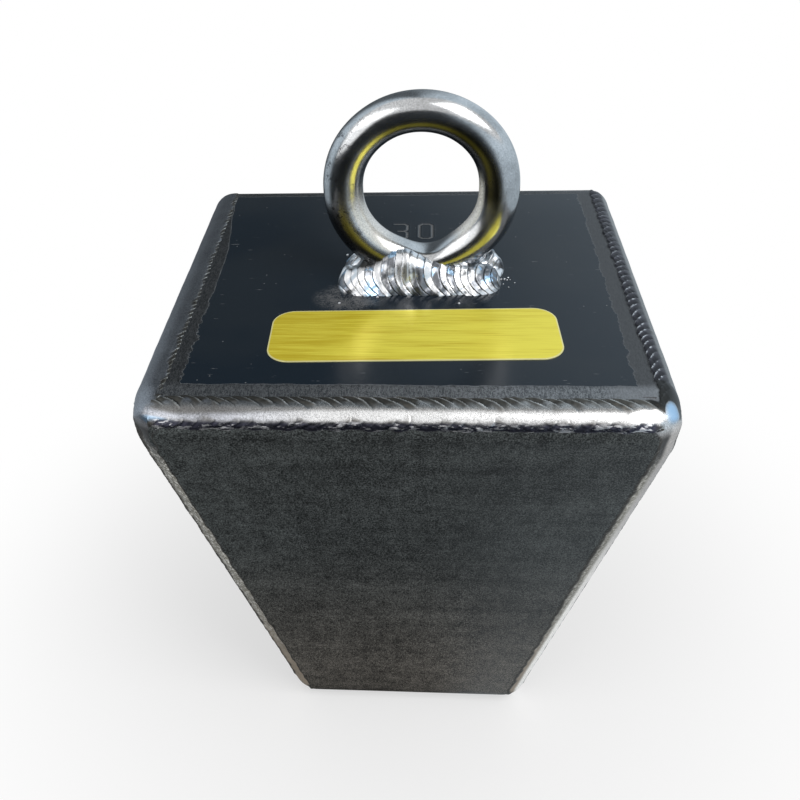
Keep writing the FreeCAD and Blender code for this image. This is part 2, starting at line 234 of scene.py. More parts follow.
class Hull:
    """The outside of the tapered box: six planes whose edges are rounded by their own radii."""

    def __init__(self, body):
        cavity_top = body.height - body.thickness
        top_half, bottom_half = body.top_span / 2, body.bottom_span / 2
        self.body = body
        self.taper = (top_half - bottom_half) / (cavity_top - body.thickness)
        self.slant = math.hypot(1, self.taper)
        self.base = (bottom_half - body.thickness - self.taper * body.thickness
                     + body.thickness * self.slant)

    def wall(self, z, inset=0.0):
        """Distance of a leaning wall from the middle at height z, set in square to the wall."""
        return self.base + self.taper * z - inset * self.slant

    def section(self, points):
        """Distance and normal of the upright section: front, top, back and bottom with bends."""
        body, y, z = self.body, points[..., 1], points[..., 2]
        lean, up = 1 / self.slant, self.taper / self.slant
        wall = (np.abs(y) - self.wall(z)) * lean
        flat = np.maximum(z - body.height, -z)
        side, high = np.where(y < 0, -1.0, 1.0), np.where(z > body.height / 2, 1.0, -1.0)
        wall_normal = np.stack([0 * y, side * lean, 0 * y - up], -1)
        flat_normal = np.stack([0 * y, 0 * y, high], -1)
        radius = np.where((y < 0) & (high > 0), body.top_round, body.fold_round)
        return rounded_pair(wall, flat, wall_normal, flat_normal, radius)

    def measure(self, points):
        """Distance and normal of the whole hull."""
        body, x, z = self.body, points[..., 0], points[..., 2]
        distance, normal = self.section(points)
        side_distance = (np.abs(x) - self.wall(z)) / self.slant
        side = np.where(x < 0, -1.0, 1.0)
        side_normal = np.stack([side / self.slant, 0 * x, 0 * x - self.taper / self.slant], -1)
        on_top = smooth_step(normal[..., 2], 0.1, 0.95)
        radius = body.side_round + (body.top_round - body.side_round) * on_top
        return rounded_pair(distance, side_distance, normal, side_normal, radius)

    def cast(self, points, directions, back=4 * MM, ahead=14 * MM):
        """Moves each point along its direction to the hull, by halving the stretch 32 times."""
        low = np.full(points.shape[:-1], -back)
        high = np.full(points.shape[:-1], ahead)
        for _ in range(32):
            middle = (low + high) / 2
            inside = self.measure(points + middle[..., None] * directions)[0] < 0
            low, high = np.where(inside, middle, low), np.where(inside, high, middle)
        return points + ((low + high) / 2)[..., None] * directions


def section_arcs(hull, inset, rounds, turn_steps):
    """The four rounded corners of the upright section, from the front top one backwards.

    The four walls are set in by `inset`. Corner k is a circular arc about the point where its two
    walls, set in by its own radius as well, cross. Returns (y, z) points and normals per corner.
    """
    lean, up = 1 / hull.slant, hull.taper / hull.slant
    normals = np.array([[-lean, -up], [0, 1], [lean, -up], [0, -1]])
    offsets = np.array([hull.base * lean, hull.body.height, hull.base * lean, 0.0]) - inset
    arcs, facings = [], []
    for corner in range(4):
        pair = [corner, (corner + 1) % 4]
        centre = np.linalg.solve(normals[pair], offsets[pair] - rounds[corner])
        start, end = (math.atan2(normals[wall][1], normals[wall][0]) for wall in pair)
        turn = (end - start + math.pi) % (2 * math.pi) - math.pi
        angles = start + turn * np.linspace(0, 1, turn_steps)
        facing = np.stack([np.cos(angles), np.sin(angles)], -1)
        arcs.append(centre + rounds[corner] * facing)
        facings.append(facing)
    return arcs, facings


def section_path(hull, inset, rounds, straight_steps, turn_steps):
    """Points and normals once round the upright section, up the front wall first, with x at 0."""
    arcs, facings = section_arcs(hull, inset, rounds, turn_steps)
    points, outward = [], []
    for corner in range(4):
        before = arcs[corner - 1][-1]
        share = np.linspace(0, 1, straight_steps[corner], endpoint=False)[1:, None]
        points += [before + (arcs[corner][0] - before) * share, arcs[corner]]
        outward += [np.repeat(facings[corner][:1], len(share), 0), facings[corner]]
    flat, normal = np.vstack(points), np.vstack(outward)
    zeros = np.zeros((len(flat), 1))
    return np.hstack([zeros, flat]), np.hstack([zeros, normal])


def add_mesh(name, points, faces, attributes=None, crisp=None):
    """A smooth-shaded mesh object from points, faces and named values per point."""
    data = bpy.data.meshes.new(name)
    data.from_pydata(points.tolist(), [], faces)
    data.polygons.foreach_set("use_smooth", np.ones(len(data.polygons), bool))
    if crisp:
        data.set_sharp_from_angle(angle=crisp)
    for label, values in (attributes or {}).items():
        layer = data.attributes.new(label, "FLOAT", "POINT")
        layer.data.foreach_set("value", np.ascontiguousarray(values, np.float32).ravel())
    data.update()
    piece = bpy.data.objects.new(name, data)
    bpy.context.scene.collection.objects.link(piece)
    return piece


def grid_quads(rows, columns, closed):
    """Corner numbers of the quads of a grid whose columns wrap round, and its rows if closed."""
    row = np.arange(rows if closed else rows - 1)[:, None]
    column = np.arange(columns)[None, :]
    below, beside = (row + 1) % rows, (column + 1) % columns
    return np.stack([row * columns + column, row * columns + beside,
                     below * columns + beside, below * columns + column], -1).reshape(-1, 4)


def add_tube(name, grid, closed, attributes=None, crisp=None):
    """A closed surface from a grid of points whose columns wrap round.

    Its rows wrap round too if `closed`, and otherwise each end row runs to a pole at its middle.
    Faces are turned outwards by the sign of the volume that they enclose.
    """
    rows, columns = grid.shape[:2]
    quads = grid_quads(rows, columns, closed)
    points = grid.reshape(-1, 3)
    extra = {label: values.reshape(-1) for label, values in (attributes or {}).items()}
    a, b, c, d = (points[quads[:, corner]] for corner in range(4))
    volume = (np.cross(a, b) * c).sum() + (np.cross(a, c) * d).sum()
    turn = slice(None, None, -1) if volume < 0 else slice(None)
    faces = quads[:, turn].tolist()
    if not closed:
        first, last = len(points), len(points) + 1
        around, onward = np.arange(columns), (np.arange(columns) + 1) % columns
        start = np.stack([onward, around, np.full(columns, first)], -1)
        offset = (rows - 1) * columns
        end = np.stack([around + offset, onward + offset, np.full(columns, last)], -1)
        faces += start[:, turn].tolist() + end[:, turn].tolist()
        points = np.vstack([points, grid[0].mean(0), grid[-1].mean(0)])
        extra = {label: np.concatenate([values, values[[0, -1]]])
                 for label, values in extra.items()}
    return add_mesh(name, points, faces, extra, crisp)


def dress(piece, slot, material, *nodes):
    """Joins a piece to the body and its finish, in place of the nodes that it stands for."""
    piece.data.materials.clear()
    piece.data.materials.append(material)
    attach(piece, "root")
    if nodes:
        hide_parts(*nodes)


# Weld ripples.

def crescents(along, trail, pitch, seed):
    """Share of the way through a ripple, 0 at its raised rim and 1 before the next, and its number.

    The phase is the travel less how far the ripple trails there, over the pitch, so each ripple is
    a crescent whose rim lies on the ripple before it.
    """
    place = np.stack([along, trail], -1)
    phase = (along - trail) / pitch + 0.16 * wobble(place, 4.5 * pitch, seed)
    number = np.floor(phase)
    return phase - number, number


def chance(number, seed):
    """A random value 0..1 for each whole number."""
    table = np.random.default_rng(seed).uniform(size=4096)
    return table[np.asarray(number, int) % 4096]


def bead_relief(place, along, across, toes, bands, lobes, travel, bead, seed):
    """Height of an edge bead over the plates, the way in from its toe, its crown and its ripples.

    From each scalloped toe inwards the height rises as a quarter ellipse to the ground level. The
    crown is smooth, and in a band beside each toe each ripple is a step that falls away up to the
    rim of the next. The sign of `travel` is the way in which the bead was laid, and a smaller size
    draws its ripples out. `lobes` says how strongly they show at each toe.
    """
    bent = across / np.minimum(np.where(across < 0, *toes), BOW_REACH)
    share, number = crescents(travel * along, bead.bow * bent ** 2, bead.pitch, seed)
    line = along[..., None] * np.ones(2)
    lobe = 0.5 * MM * (1 - (2 * share - 1) ** 2) * (0.2 + 0.8 * chance(number, seed + 1))
    inwards, crown = [], 1.0
    for toe, band, strength, way in zip(toes, bands, lobes, (1, -1)):
        uneven = wobble(line, 8 * MM, seed + 2 + way)
        inwards.append(toe + lobe * strength + 0.25 * MM * uneven + way * across)
        band = band * (1 + 0.25 * wobble(place, 5 * MM, seed + 6 + way))
        crown = crown * smooth_step(inwards[-1], 0.55 * band, 1.2 * band)
    inwards = np.minimum(*inwards)
    rise = np.sqrt(1 - (1 - np.clip(inwards / bead.toe, 0, 1)) ** 2)
    depth = bead.ripple * (0.35 + 0.65 * chance(number, seed + 4)) * (1 - crown)
    depth = depth * np.where(across < 0, *lobes)
    rough = 0.035 * MM * wobble(place, 1.7 * MM, seed + 5) * (1 - crown)
    waves = 0.04 * MM * wobble(place, 8 * MM, 61)
    height = (bead.ground - depth * share ** 1.4 + rough + waves) * rise
    return height, inwards, crown, share


def corner_wear(hull, points):
    """How far the front top corners are ground back: most at a corner, nothing 19 mm from it."""
    edge, top = hull.wall(hull.body.height), hull.body.height
    x, y, z = points[..., 0], points[..., 1], points[..., 2]
    away = np.stack([np.abs(x) - edge, y + edge, z - top], -1)
    return hull.body.worn * (1 - smooth_step(np.linalg.norm(away, axis=-1), 5.0 * MM, 19 * MM))


def lay_bead(hull, start, end, start_normal, end_normal, columns):
    """Grid of points on the hull between two border lines, with the direction of each ray.

    Rays leave the straight chord from border to border, turning evenly from one border's normal to
    the other's, and end on the hull. They lie closest together in the middle.
    """
    spread = np.linspace(-1, 1, columns)
    share = (0.5 + 0.5 * (0.62 * spread + 0.38 * spread ** 3))[None, :, None]
    chord = start[:, None] + (end - start)[:, None] * share
    rays = unit(start_normal[:, None] * (1 - share) + end_normal[:, None] * share)
    return chord, rays, hull.cast(chord, rays)


def bead_mesh(name, hull, strip, toes, bands, lobes, shine, lift, dive, travel, settings, closed):
    """Lays a bead's relief on a strip of the hull and closes it underneath.

    `toes` are the distances of both toes from the middle of the bead, `bands` the widths of
    ripples beside them and `lobes` how strongly they show. The next three say, row by row, how
    much painted light falls on the crown, from painted shade to a painted highlight, how far the
    bead stands higher and how far the whole strip lies deeper. Beside the bead the strip lies flush,
    and it dips under the plates before its border.
    The attribute "over" says how far a point lies across the bead from its middle.
    """
    chord, rays, surface = strip
    steps = np.linalg.norm(np.diff(surface, axis=1), axis=-1)
    across = np.hstack([np.zeros((len(surface), 1)), np.cumsum(steps, 1)])
    width = across[:, -1:]
    middle = surface.shape[1] // 2
    off_middle = across - across[:, middle:middle + 1]
    run = np.linalg.norm(np.diff(surface[:, middle], axis=0), axis=-1)
    along = np.concatenate([[0], np.cumsum(run)])[:, None] + 0 * across
    height, inwards, crown, share = bead_relief(
        surface, along, off_middle,
        *([row[:, None] for row in rows] for rows in (toes, bands, lobes)), travel, settings.bead,
        settings.seed + sum(map(ord, name)))
    border = np.minimum(across, width - across)
    dip = 0.3 * MM * (1 - smooth_step(border, 0.5 * MM, 1.8 * MM))
    raised = height - 0.004 * MM - dip + lift[:, None] * smooth_step(inwards, 0, 2 * MM)
    raised = raised - dive[:, None] - corner_wear(hull, surface)
    skin = surface + raised[..., None] * hull.measure(surface)[1]
    under = np.linspace(1, 0, 7)[1:-1]
    pick = np.round(under * (surface.shape[1] - 1)).astype(int)
    below = chord[:, pick] - 3.0 * MM * rays[:, pick]
    grid = np.clip(np.concatenate([skin, below], 1), *(np.array(corner) for corner in CAD_BOUNDS))
    pad = np.zeros((len(grid), len(pick)))
    values = {"bead": smooth_step(inwards, 0, 0.2 * MM), "ground": crown, "ripple": share,
              "shine": shine[:, None] + 0 * share, "over": off_middle / BOW_REACH}
    values = {label: np.hstack([value, pad]) for label, value in values.items()}
    return add_tube(name, grid, closed, values)


class BeadSide(NamedTuple):
    """What differs between the two side beads: sizes in metres and shares 0..1."""
    name: str
    roof_toe: float         # from the bead's middle to its toe on the top plate
    slant_near: float       # to its toe on the side plate, beside the front
    slant_far: float        # to its toe on the front
    slant_cut: float        # how far it is ground back beside the front
    roof_light: float       # painted light on its crown on top
    slant_light: float      # beside the front
    corner_light: float     # at the front top corner
    wider: float            # how much wider its ripples run on the top plate
    travel: float           # the way it was laid, and how short its ripples are


LEFT_SIDE = BeadSide("left_edge_bead", 9.4 * MM, 5.0 * MM, 5.8 * MM, 1.5 * MM,
                     0.25, 0.35, 0.0, 0.0, 1.0)
RIGHT_SIDE = BeadSide("right_edge_bead", 6.2 * MM, 3.6 * MM, 5.6 * MM, 0.3 * MM,
                      0.12, 0.8, 0.3, 1.0, -0.72)


def make_side_bead(hull, side, settings):
    """The bead that runs all round a side plate; side -1 is the left one and +1 the right one.

    Its sizes are sums of shares: how far its strip faces the top, the front, the back and the
    bottom, and how near it is to the front top corner, each times the size that holds there.
    """
    bead, laid = settings.bead, LEFT_SIDE if side < 0 else RIGHT_SIDE
    straight_steps, turn_steps, columns = (400, 430, 250, 110), 28, 70
    folds = [hull.body.top_round] + [hull.body.fold_round] * 3
    inner, _ = section_path(hull, bead.reach, [2.5 * MM] * 4, straight_steps, turn_steps)
    outer, facing = section_path(hull, 0.0, folds, straight_steps, turn_steps)
    inner[:, 0] = side * hull.wall(inner[:, 2])
    outer[:, 0] = side * hull.wall(outer[:, 2], bead.reach)
    outwards = np.zeros_like(inner)
    outwards[:] = (side / hull.slant, 0, -hull.taper / hull.slant)
    strip = lay_bead(hull, inner, outer, outwards, facing, columns)
    top, front = np.clip(facing[:, 2], 0, 1) ** 2, np.clip(-facing[:, 1], 0, 1) ** 2
    back, bottom = np.clip(facing[:, 1], 0, 1) ** 2, np.clip(-facing[:, 2], 0, 1) ** 2
    corner = np.clip(4 * top * front * (facing[:, 1] < 0), 0, 1)
    behind = back + bottom
    near = 5.2 * MM * top + laid.slant_near * front + 3.4 * MM * behind + 1.0 * MM * corner
    far = laid.roof_toe * top + laid.slant_far * front + 3.6 * MM * behind + 7.0 * MM * corner
    rippled = bead.band * (0.85 - 0.35 * front + 0.7 * behind) * (1 - 0.6 * corner)
    bands = (rippled, rippled * (1 + laid.wider * top * (1 - corner)))
    lobes = (1.0 - 0.85 * front) * (1 - 0.6 * corner)
    # Painted light on the crown: a painted highlight where it is high, painted shade where it is
    # low.
    shine = laid.roof_light * top + laid.slant_light * front + 0.4 * behind \
        + laid.corner_light * corner
    lift = -bead.ground * (0.35 * top + bottom) - laid.slant_cut * front ** 2
    return bead_mesh(laid.name, hull, strip, (near, far), bands, (lobes, lobes), shine, lift,
                     0 * lift, laid.travel, settings, True)


def make_seam_bead(hull, settings):
    """The bead that closes the box along the front top edge, between the two side beads."""
    bead, body = settings.bead, hull.body
    half = hull.wall(body.height) - 8.2 * MM
    reach = bead.reach + 1.5 * MM
    across = np.linspace(-half, half, 620)
    ridge = hull.wall(body.height)
    zeros, ones = np.zeros_like(across), np.ones_like(across)
    start = np.stack([across, zeros - ridge + reach, zeros + body.height], -1)
    drop = reach / hull.slant
    end = np.stack([across, zeros - ridge + drop * hull.taper, body.height - drop * ones], -1)
    roof = np.stack([zeros, zeros, ones], -1)
    front = np.stack([zeros, zeros - 1 / hull.slant, zeros - hull.taper / hull.slant], -1)
    strip = lay_bead(hull, start, end, roof, front, 76)
    toes = (7.6 * MM * ones, 2.6 * MM * ones)
    bands = (1.6 * bead.band * ones, 1.15 * bead.band * ones)
    # Painted light on the crown: painted shade to the left, a painted highlight to the right.
    shine = 0.35 + 0.65 * smooth_step(across, -62 * MM, -15 * MM)
    dive = 0.12 * MM * smooth_step(np.abs(across), half - 2.0 * MM, half)
    return bead_mesh("front_seam_bead", hull, strip, toes, bands, (0.8 * ones, 0.45 * ones), shine,
                     0.01 * MM * ones, dive, -0.66, settings, False)


# The plates.

def stroke_distance(x, y, segments):
    """Distance from points to the nearest of some straight strokes, in the plane."""
    nearest = np.full(x.shape, np.inf)
    for start_x, start_y, end_x, end_y in segments:
        run_x, run_y = end_x - start_x, end_y - start_y
        share = ((x - start_x) * run_x + (y - start_y) * run_y) / (run_x ** 2 + run_y ** 2)
        share = np.clip(share, 0, 1)
        gap = np.hypot(x - start_x - share * run_x, y - start_y - share * run_y)
        nearest = np.minimum(nearest, gap)
    return nearest


def chain(points, closed=False):
    """Straight strokes from each point to the next, and back to the first if closed."""
    onward = points[1:] + (points[:1] if closed else [])
    return [(*start, *end) for start, end in zip(points, onward)]


def struck_depth(x, y, stamp):
    """Depth of the plain number 30 struck into the top plate, and how far in a stroke a point is.

    The figures are straight strokes with cut corners. Each stroke is a groove with a low lip.
    """
    half_w, half_h, notch = stamp.width / 2, stamp.height / 2, stamp.notch
    left, right = (stamp.middle_x + way * stamp.spacing / 2 for way in (-1, 1))
    low, middle, high = (stamp.middle_y + lift for lift in (-half_h, 0, half_h))
    edge, bend = left + half_w, left + half_w - notch
    three = chain([(left - half_w, high), (bend, high), (edge, high - notch),
                   (edge, middle + notch), (bend, middle), (edge, middle - notch),
                   (edge, low + notch), (bend, low), (left - half_w, low)])
    three += chain([(left - half_w / 3, middle), (bend, middle)])
    near, far = right - half_w, right + half_w
    nought = chain([(near, low + notch), (near, high - notch), (near + notch, high),
                    (far - notch, high), (far, high - notch), (far, low + notch),
                    (far - notch, low), (near + notch, low)], closed=True)
    gap = stroke_distance(x, y, three + nought)
    groove = 1 - smooth_step(gap, 0.15 * stamp.stroke, 0.62 * stamp.stroke)
    lip = np.exp(-((gap - 0.85 * stamp.stroke) / (0.22 * stamp.stroke)) ** 2)
    return stamp.depth * groove - 0.035 * MM * lip, groove


def make_folded_plate(hull, settings):
    """The folded strip, from the seam back over the top, down, under and up the front.

    Each place along the strip has an outside and an inside point of the section, and a row of the
    grid runs across the strip outside and back inside. Its half width follows the leaning sides.
    The grid is fine only where the number is struck into the top.
    """
    body, stamp = hull.body, settings.stamp
    gauge, gap = body.thickness, body.root_gap
    cavity = body.top_span / 2 - gauge
    fine = np.arange(-9 * MM, 9 * MM, 0.2 * MM)
    roof = stamp.middle_y + fine
    roof = np.concatenate([np.linspace(gap - cavity, roof[0], 24, endpoint=False), roof])
    front_inside = np.array([gap * hull.taper / hull.slant - cavity,
                             body.height - gauge - gap / hull.slant])
    front_outside = front_inside - gauge * np.array([1, hull.taper]) / hull.slant
    lines = []
    for inset, radius, end in ((0.0, body.fold_round, front_outside),
                               (gauge, body.fold_round - gauge, front_inside)):
        arcs, _ = section_arcs(hull, inset, [radius] * 4, 16)
        level = np.full(roof.shape, body.height - inset)
        lines.append(np.vstack([np.stack([roof, level], -1), *arcs[1:], end]))
    outside, inside = lines
    half_outside, half_inside = (hull.wall(line[:, 1], gauge + gap)[:, None] for line in lines)
    widest = half_outside.max()
    fine_x = stamp.middle_x + fine
    spots = np.concatenate([np.linspace(-widest, fine_x[0], 20, endpoint=False), fine_x,
                            np.linspace(fine_x[-1], widest, 21)[1:]]) / widest
    x = np.hstack([half_outside * spots, -half_inside * np.linspace(-1, 1, 12)])
    back = np.ones(12)
    y = np.hstack([outside[:, :1] + 0 * spots, inside[:, :1] * back])
    z = np.hstack([outside[:, 1:] + 0 * spots, inside[:, 1:] * back])
    struck = np.zeros(x.shape, bool)
    struck[:len(roof), :len(spots)] = True
    depth, groove = struck_depth(x, y, stamp)
    points = np.stack([x, y, z - np.where(struck, depth, 0)], -1)
    return add_tube("folded_plate", points, False, {"struck": np.where(struck, groove, 0)},
                    crisp=math.radians(35))


# The ring, its welds, the label and the spatter.

def make_ring(settings):
    """The lifting ring: a round section carried round two half turns joined by short straights.

    The path is a circle about the ring's middle whose upper half is lifted by the rise. A slow wave
    in the bar's radius keeps its reflections from looking turned, and its foot is melted hollow
    inside, where it was welded.
    """
    ring = settings.ring
    bar, rise = ring.bar / 2, ring.rise
    turn = (RING_HIGH.x - RING_LOW.x) / 2 - bar
    middle_x = (RING_HIGH.x + RING_LOW.x) / 2
    low = RING_LOW.z + bar + turn
    round_steps, straight_steps = 300, 6
    upper = np.linspace(0, np.pi, round_steps)
    lower = np.linspace(np.pi, 2 * np.pi, round_steps)
    straight = np.linspace(0, 1, straight_steps)[1:-1]
    angle = np.concatenate([upper, np.full(len(straight), np.pi), lower,
                            np.full(len(straight), 2 * np.pi)])
    lift = np.concatenate([np.ones(round_steps), 1 - straight, np.zeros(round_steps), straight])
    around = np.linspace(0, 2 * np.pi, 88, endpoint=False)
    angle, lift = angle[:, None], lift[:, None]
    place = np.stack([np.cos(angle) + 0 * around, np.sin(angle) + 0 * around,
                      0.35 * np.cos(around) + 0 * angle], -1)
    hollow = np.clip(-np.cos(around), 0, 1) ** 2 * np.exp(-((angle - 1.54 * np.pi) / 0.3) ** 2)
    radius = bar - 0.05 * MM + 0.04 * MM * wobble(place, 0.9, settings.seed + 31)
    radius = radius - ring.hollow * hollow
    out = turn + radius * np.cos(around)
    x = middle_x + out * np.cos(angle)
    z = low + rise * lift + out * np.sin(angle)
    y = radius * np.sin(around) + 0 * angle
    return add_tube("ring_bar", np.stack([x, y, z], -1), True,
                    {"inner": -np.cos(around) + 0 * angle})


def make_ring_bead(settings, side):
    """The weld along the ring's foot: a worm of overlapping ripples in the corner on the plate.

    Its section is a circle about a line just under the top face. Both ends close as the flat side
    of a superellipse. Each ripple is a crescent that trails with the square of its angle from the
    brow of the bead, stands proud at its rim and falls away up to the next. In the middle the front
    bead climbs the ring.
    """
    ring, body, seed = settings.ring, settings.body, settings.seed + (40 if side < 0 else 50)
    middle = (RING_HIGH.x + RING_LOW.x) / 2
    reach = ring.right_end - ring.left_end
    travel = 0.5 - 0.5 * np.cos(np.pi * np.linspace(0, 1, 560))[:, None]
    # The angle is 0 straight up and grows towards the toe on the plate.
    seen = np.linspace(-0.85, 1.75, 118)
    angle = np.concatenate([seen, np.linspace(seen[-1], seen[0] + 2 * np.pi, 14)[1:-1]])
    run = travel * reach + 0 * angle
    brow = np.clip(angle, seen[0], seen[-1]) - 0.6
    trail = ring.sweep * brow ** 2 * np.where(brow < 0, 0.45, 1.2) + 0 * run
    share, number = crescents(run, trail, ring.pitch, seed)
    x = ring.left_end + run if side < 0 else 2 * middle - ring.left_end - run
    place = np.stack([run, ring.radius * np.cos(angle) + 0 * run,
                      ring.radius * np.sin(angle) + 0 * run], -1)
    swell = ring.ripple * (0.45 + 0.75 * chance(number, seed + 1)) * (0.75 - share ** 0.8)
    crease = 0.16 * MM * np.exp(-((1 - share) / 0.12) ** 2)
    start = np.exp(-(run / (9 * MM)) ** 2)
    lumps = (0.35 + 0.75 * start) * MM * wobble(place, 7 * MM, seed + 2) \
        + 0.05 * MM * wobble(place, 1.8 * MM, seed + 3)
    ends = np.sqrt(np.clip(1 - (2 * travel - 1) ** 8, 0, 1))
    climb = ring.climb * np.exp(-((run - 22 * MM) / (8.5 * MM)) ** 2 - ((brow + 0.5) / 0.5) ** 2) \
        * (side < 0)
    radius = (ring.radius - 0.3 * MM + swell - crease + lumps + climb) * ends
    y = side * (ring.offset + radius * np.sin(angle))
    z = np.maximum(body.height - ring.sink + radius * np.cos(angle), body.height - 1.5 * MM)
    points = np.stack([x, y, z], -1)
    name = "ring_bead_front" if side < 0 else "ring_bead_rear"
    return add_tube(name, points, False, {"ripple": share, "tone": chance(number, seed + 4)})


def make_spatter(settings):
    """Drops of weld metal on the plate round the ring's foot: low domes, all in one mesh.

    Each is a sphere of radius r whose middle lies 0.2 r over the plate. A third are thrown out from
    the right end of the front weld, and the others lie anywhere round both welds.
    """
    random = np.random.default_rng(settings.seed + 70)
    count = 26
    angle = random.uniform(0, 2 * np.pi, count)
    throw = random.uniform(4, 13, count) * MM
    thrown = np.arange(count) < count // 3
    from_x = np.where(thrown, settings.ring.right_end, random.uniform(-22, 30, count) * MM)
    from_y = np.where(thrown, -4 * MM, np.where(angle < np.pi, 9 * MM, -9 * MM))
    x = from_x + np.where(thrown, np.abs(np.cos(angle)) * throw * 0.6, 0)
    y = from_y + np.sin(angle) * throw * np.where(thrown, 0.35, 0.8)
    radius = random.uniform(0.16, 0.5, count) ** 1.3 * 1.3 * MM
    rows, columns = 7, 12
    around = np.linspace(0, 2 * np.pi, columns, endpoint=False)[None, :]
    down = np.linspace(0, np.pi, rows + 2)[1:-1][:, None]
    ball = np.stack([np.sin(down) * np.cos(around), np.sin(down) * np.sin(around),
                     np.cos(down) + 0 * around], -1).reshape(-1, 3)
    ball = np.vstack([ball, [[0, 0, 1], [0, 0, -1]]])
    middles = np.stack([x, y, settings.body.height + 0.2 * radius], -1)
    points = middles[:, None] + radius[:, None, None] * ball
    row, column = np.arange(rows - 1)[:, None] * columns, np.arange(columns)[None, :]
    below, beside = row + columns, (column + 1) % columns
    quads = np.stack([row + column, below + column, below + beside, row + beside], -1)
    last, top, bottom = (rows - 1) * columns, len(ball) - 2, len(ball) - 1
    around, onward = np.arange(columns), (np.arange(columns) + 1) % columns
    caps = [np.stack([onward, np.full(columns, top), around], -1),
            np.stack([around + last, np.full(columns, bottom), onward + last], -1)]
    offsets = np.arange(count)[:, None, None] * len(ball)
    faces = [part for group in (quads.reshape(-1, 4), *caps)
             for part in (group[None] + offsets).reshape(-1, group.shape[1]).tolist()]
    return add_mesh("weld_spatter", points.reshape(-1, 3), faces)


def make_label(settings):
    """The bare foil label: a rounded rectangle with a turned-down edge.

    Its rings of points are set in from the outline by a constant width up to the pale edge, and
    then shrink to the middle. The label is turned a little askew, and the frame's box holds it as
    turned: with half sizes h and k, the box's half sizes are (h - r) cos t + (k - r) sin t + r and
    the like, which is solved for h and k.
    """
    label, body = settings.label, settings.body
    middle = np.array([LABEL_LOW.x + LABEL_HIGH.x, LABEL_LOW.y + LABEL_HIGH.y]) / 2
    corner, cosine, sine = label.corner, math.cos(label.turn), math.sin(label.turn)
    box = np.array([LABEL_HIGH.x - LABEL_LOW.x, LABEL_HIGH.y - LABEL_LOW.y]) / 2 - corner
    straight = np.linalg.solve(np.array([[cosine, sine], [sine, cosine]]), box)
    angle = np.concatenate([np.linspace(start, start + np.pi / 2, 16)
                            for start in (0, np.pi / 2, np.pi, 1.5 * np.pi)])
    quarter = np.repeat([[1, 1], [-1, 1], [-1, -1], [1, -1]], 16, 0)
    facing = np.stack([np.cos(angle), np.sin(angle)], -1)
    rim = LABEL_HIGH.z
    insets = [(0, body.height - 0.1 * MM, 1), (0, rim - 0.05 * MM, 1), (0.04 * MM, rim, 1),
              (label.rim, rim, 1), (1.3 * label.rim, rim, 0), (0.6 * corner, rim, 0)]
    rows = [quarter * straight + (corner - inset) * facing for inset, _, _ in insets]
    scales = np.linspace(0.93, 0.02, 24)
    rows = np.stack(rows + [rows[-1] * scale for scale in scales])
    level = np.array([height for _, height, _ in insets] + [rim] * len(scales))[:, None]
    edge = np.array([pale for _, _, pale in insets] + [0] * len(scales))[:, None]
    spin = np.array([[cosine, sine], [-sine, cosine]])
    rows = rows @ spin + middle
    grid = np.concatenate([rows, (level + 0 * rows[..., 0])[..., None]], -1)
    return add_tube("foil_label_face", grid, False, {"edge": edge + 0 * rows[..., 0]},
                    crisp=math.radians(50))


# Materials.

class Value:
    """A shader socket that takes part in sums: an expression on it adds Math nodes."""

    def __init__(self, paint, socket):
        self.paint, self.socket = paint, socket

    def math(self, operation, *others):
        return self.paint.node("ShaderNodeMath", {"operation": operation},
                               dict(enumerate((self, *others))))

    def __add__(self, other):
        return self.math("ADD", other)

    def __sub__(self, other):
        return self.math("SUBTRACT", other)

    def __mul__(self, other):
        return self.math("MULTIPLY", other)

    def __radd__(self, other):
        return self.math("ADD", other)

    def __rmul__(self, other):
        return self.math("MULTIPLY", other)

    def __rsub__(self, other):
        return (self * -1).math("ADD", other)

    def least(self, other):
        return self.math("MINIMUM", other)

    def most(self, other):
        return self.math("MAXIMUM", other)

    def ramp(self, low, high):
        """0 below low, 1 above high and smooth between."""
        return self.paint.node("ShaderNodeMapRange", {"interpolation_type": "SMOOTHSTEP"},
                               {"Value": self, "From Min": low, "From Max": high})


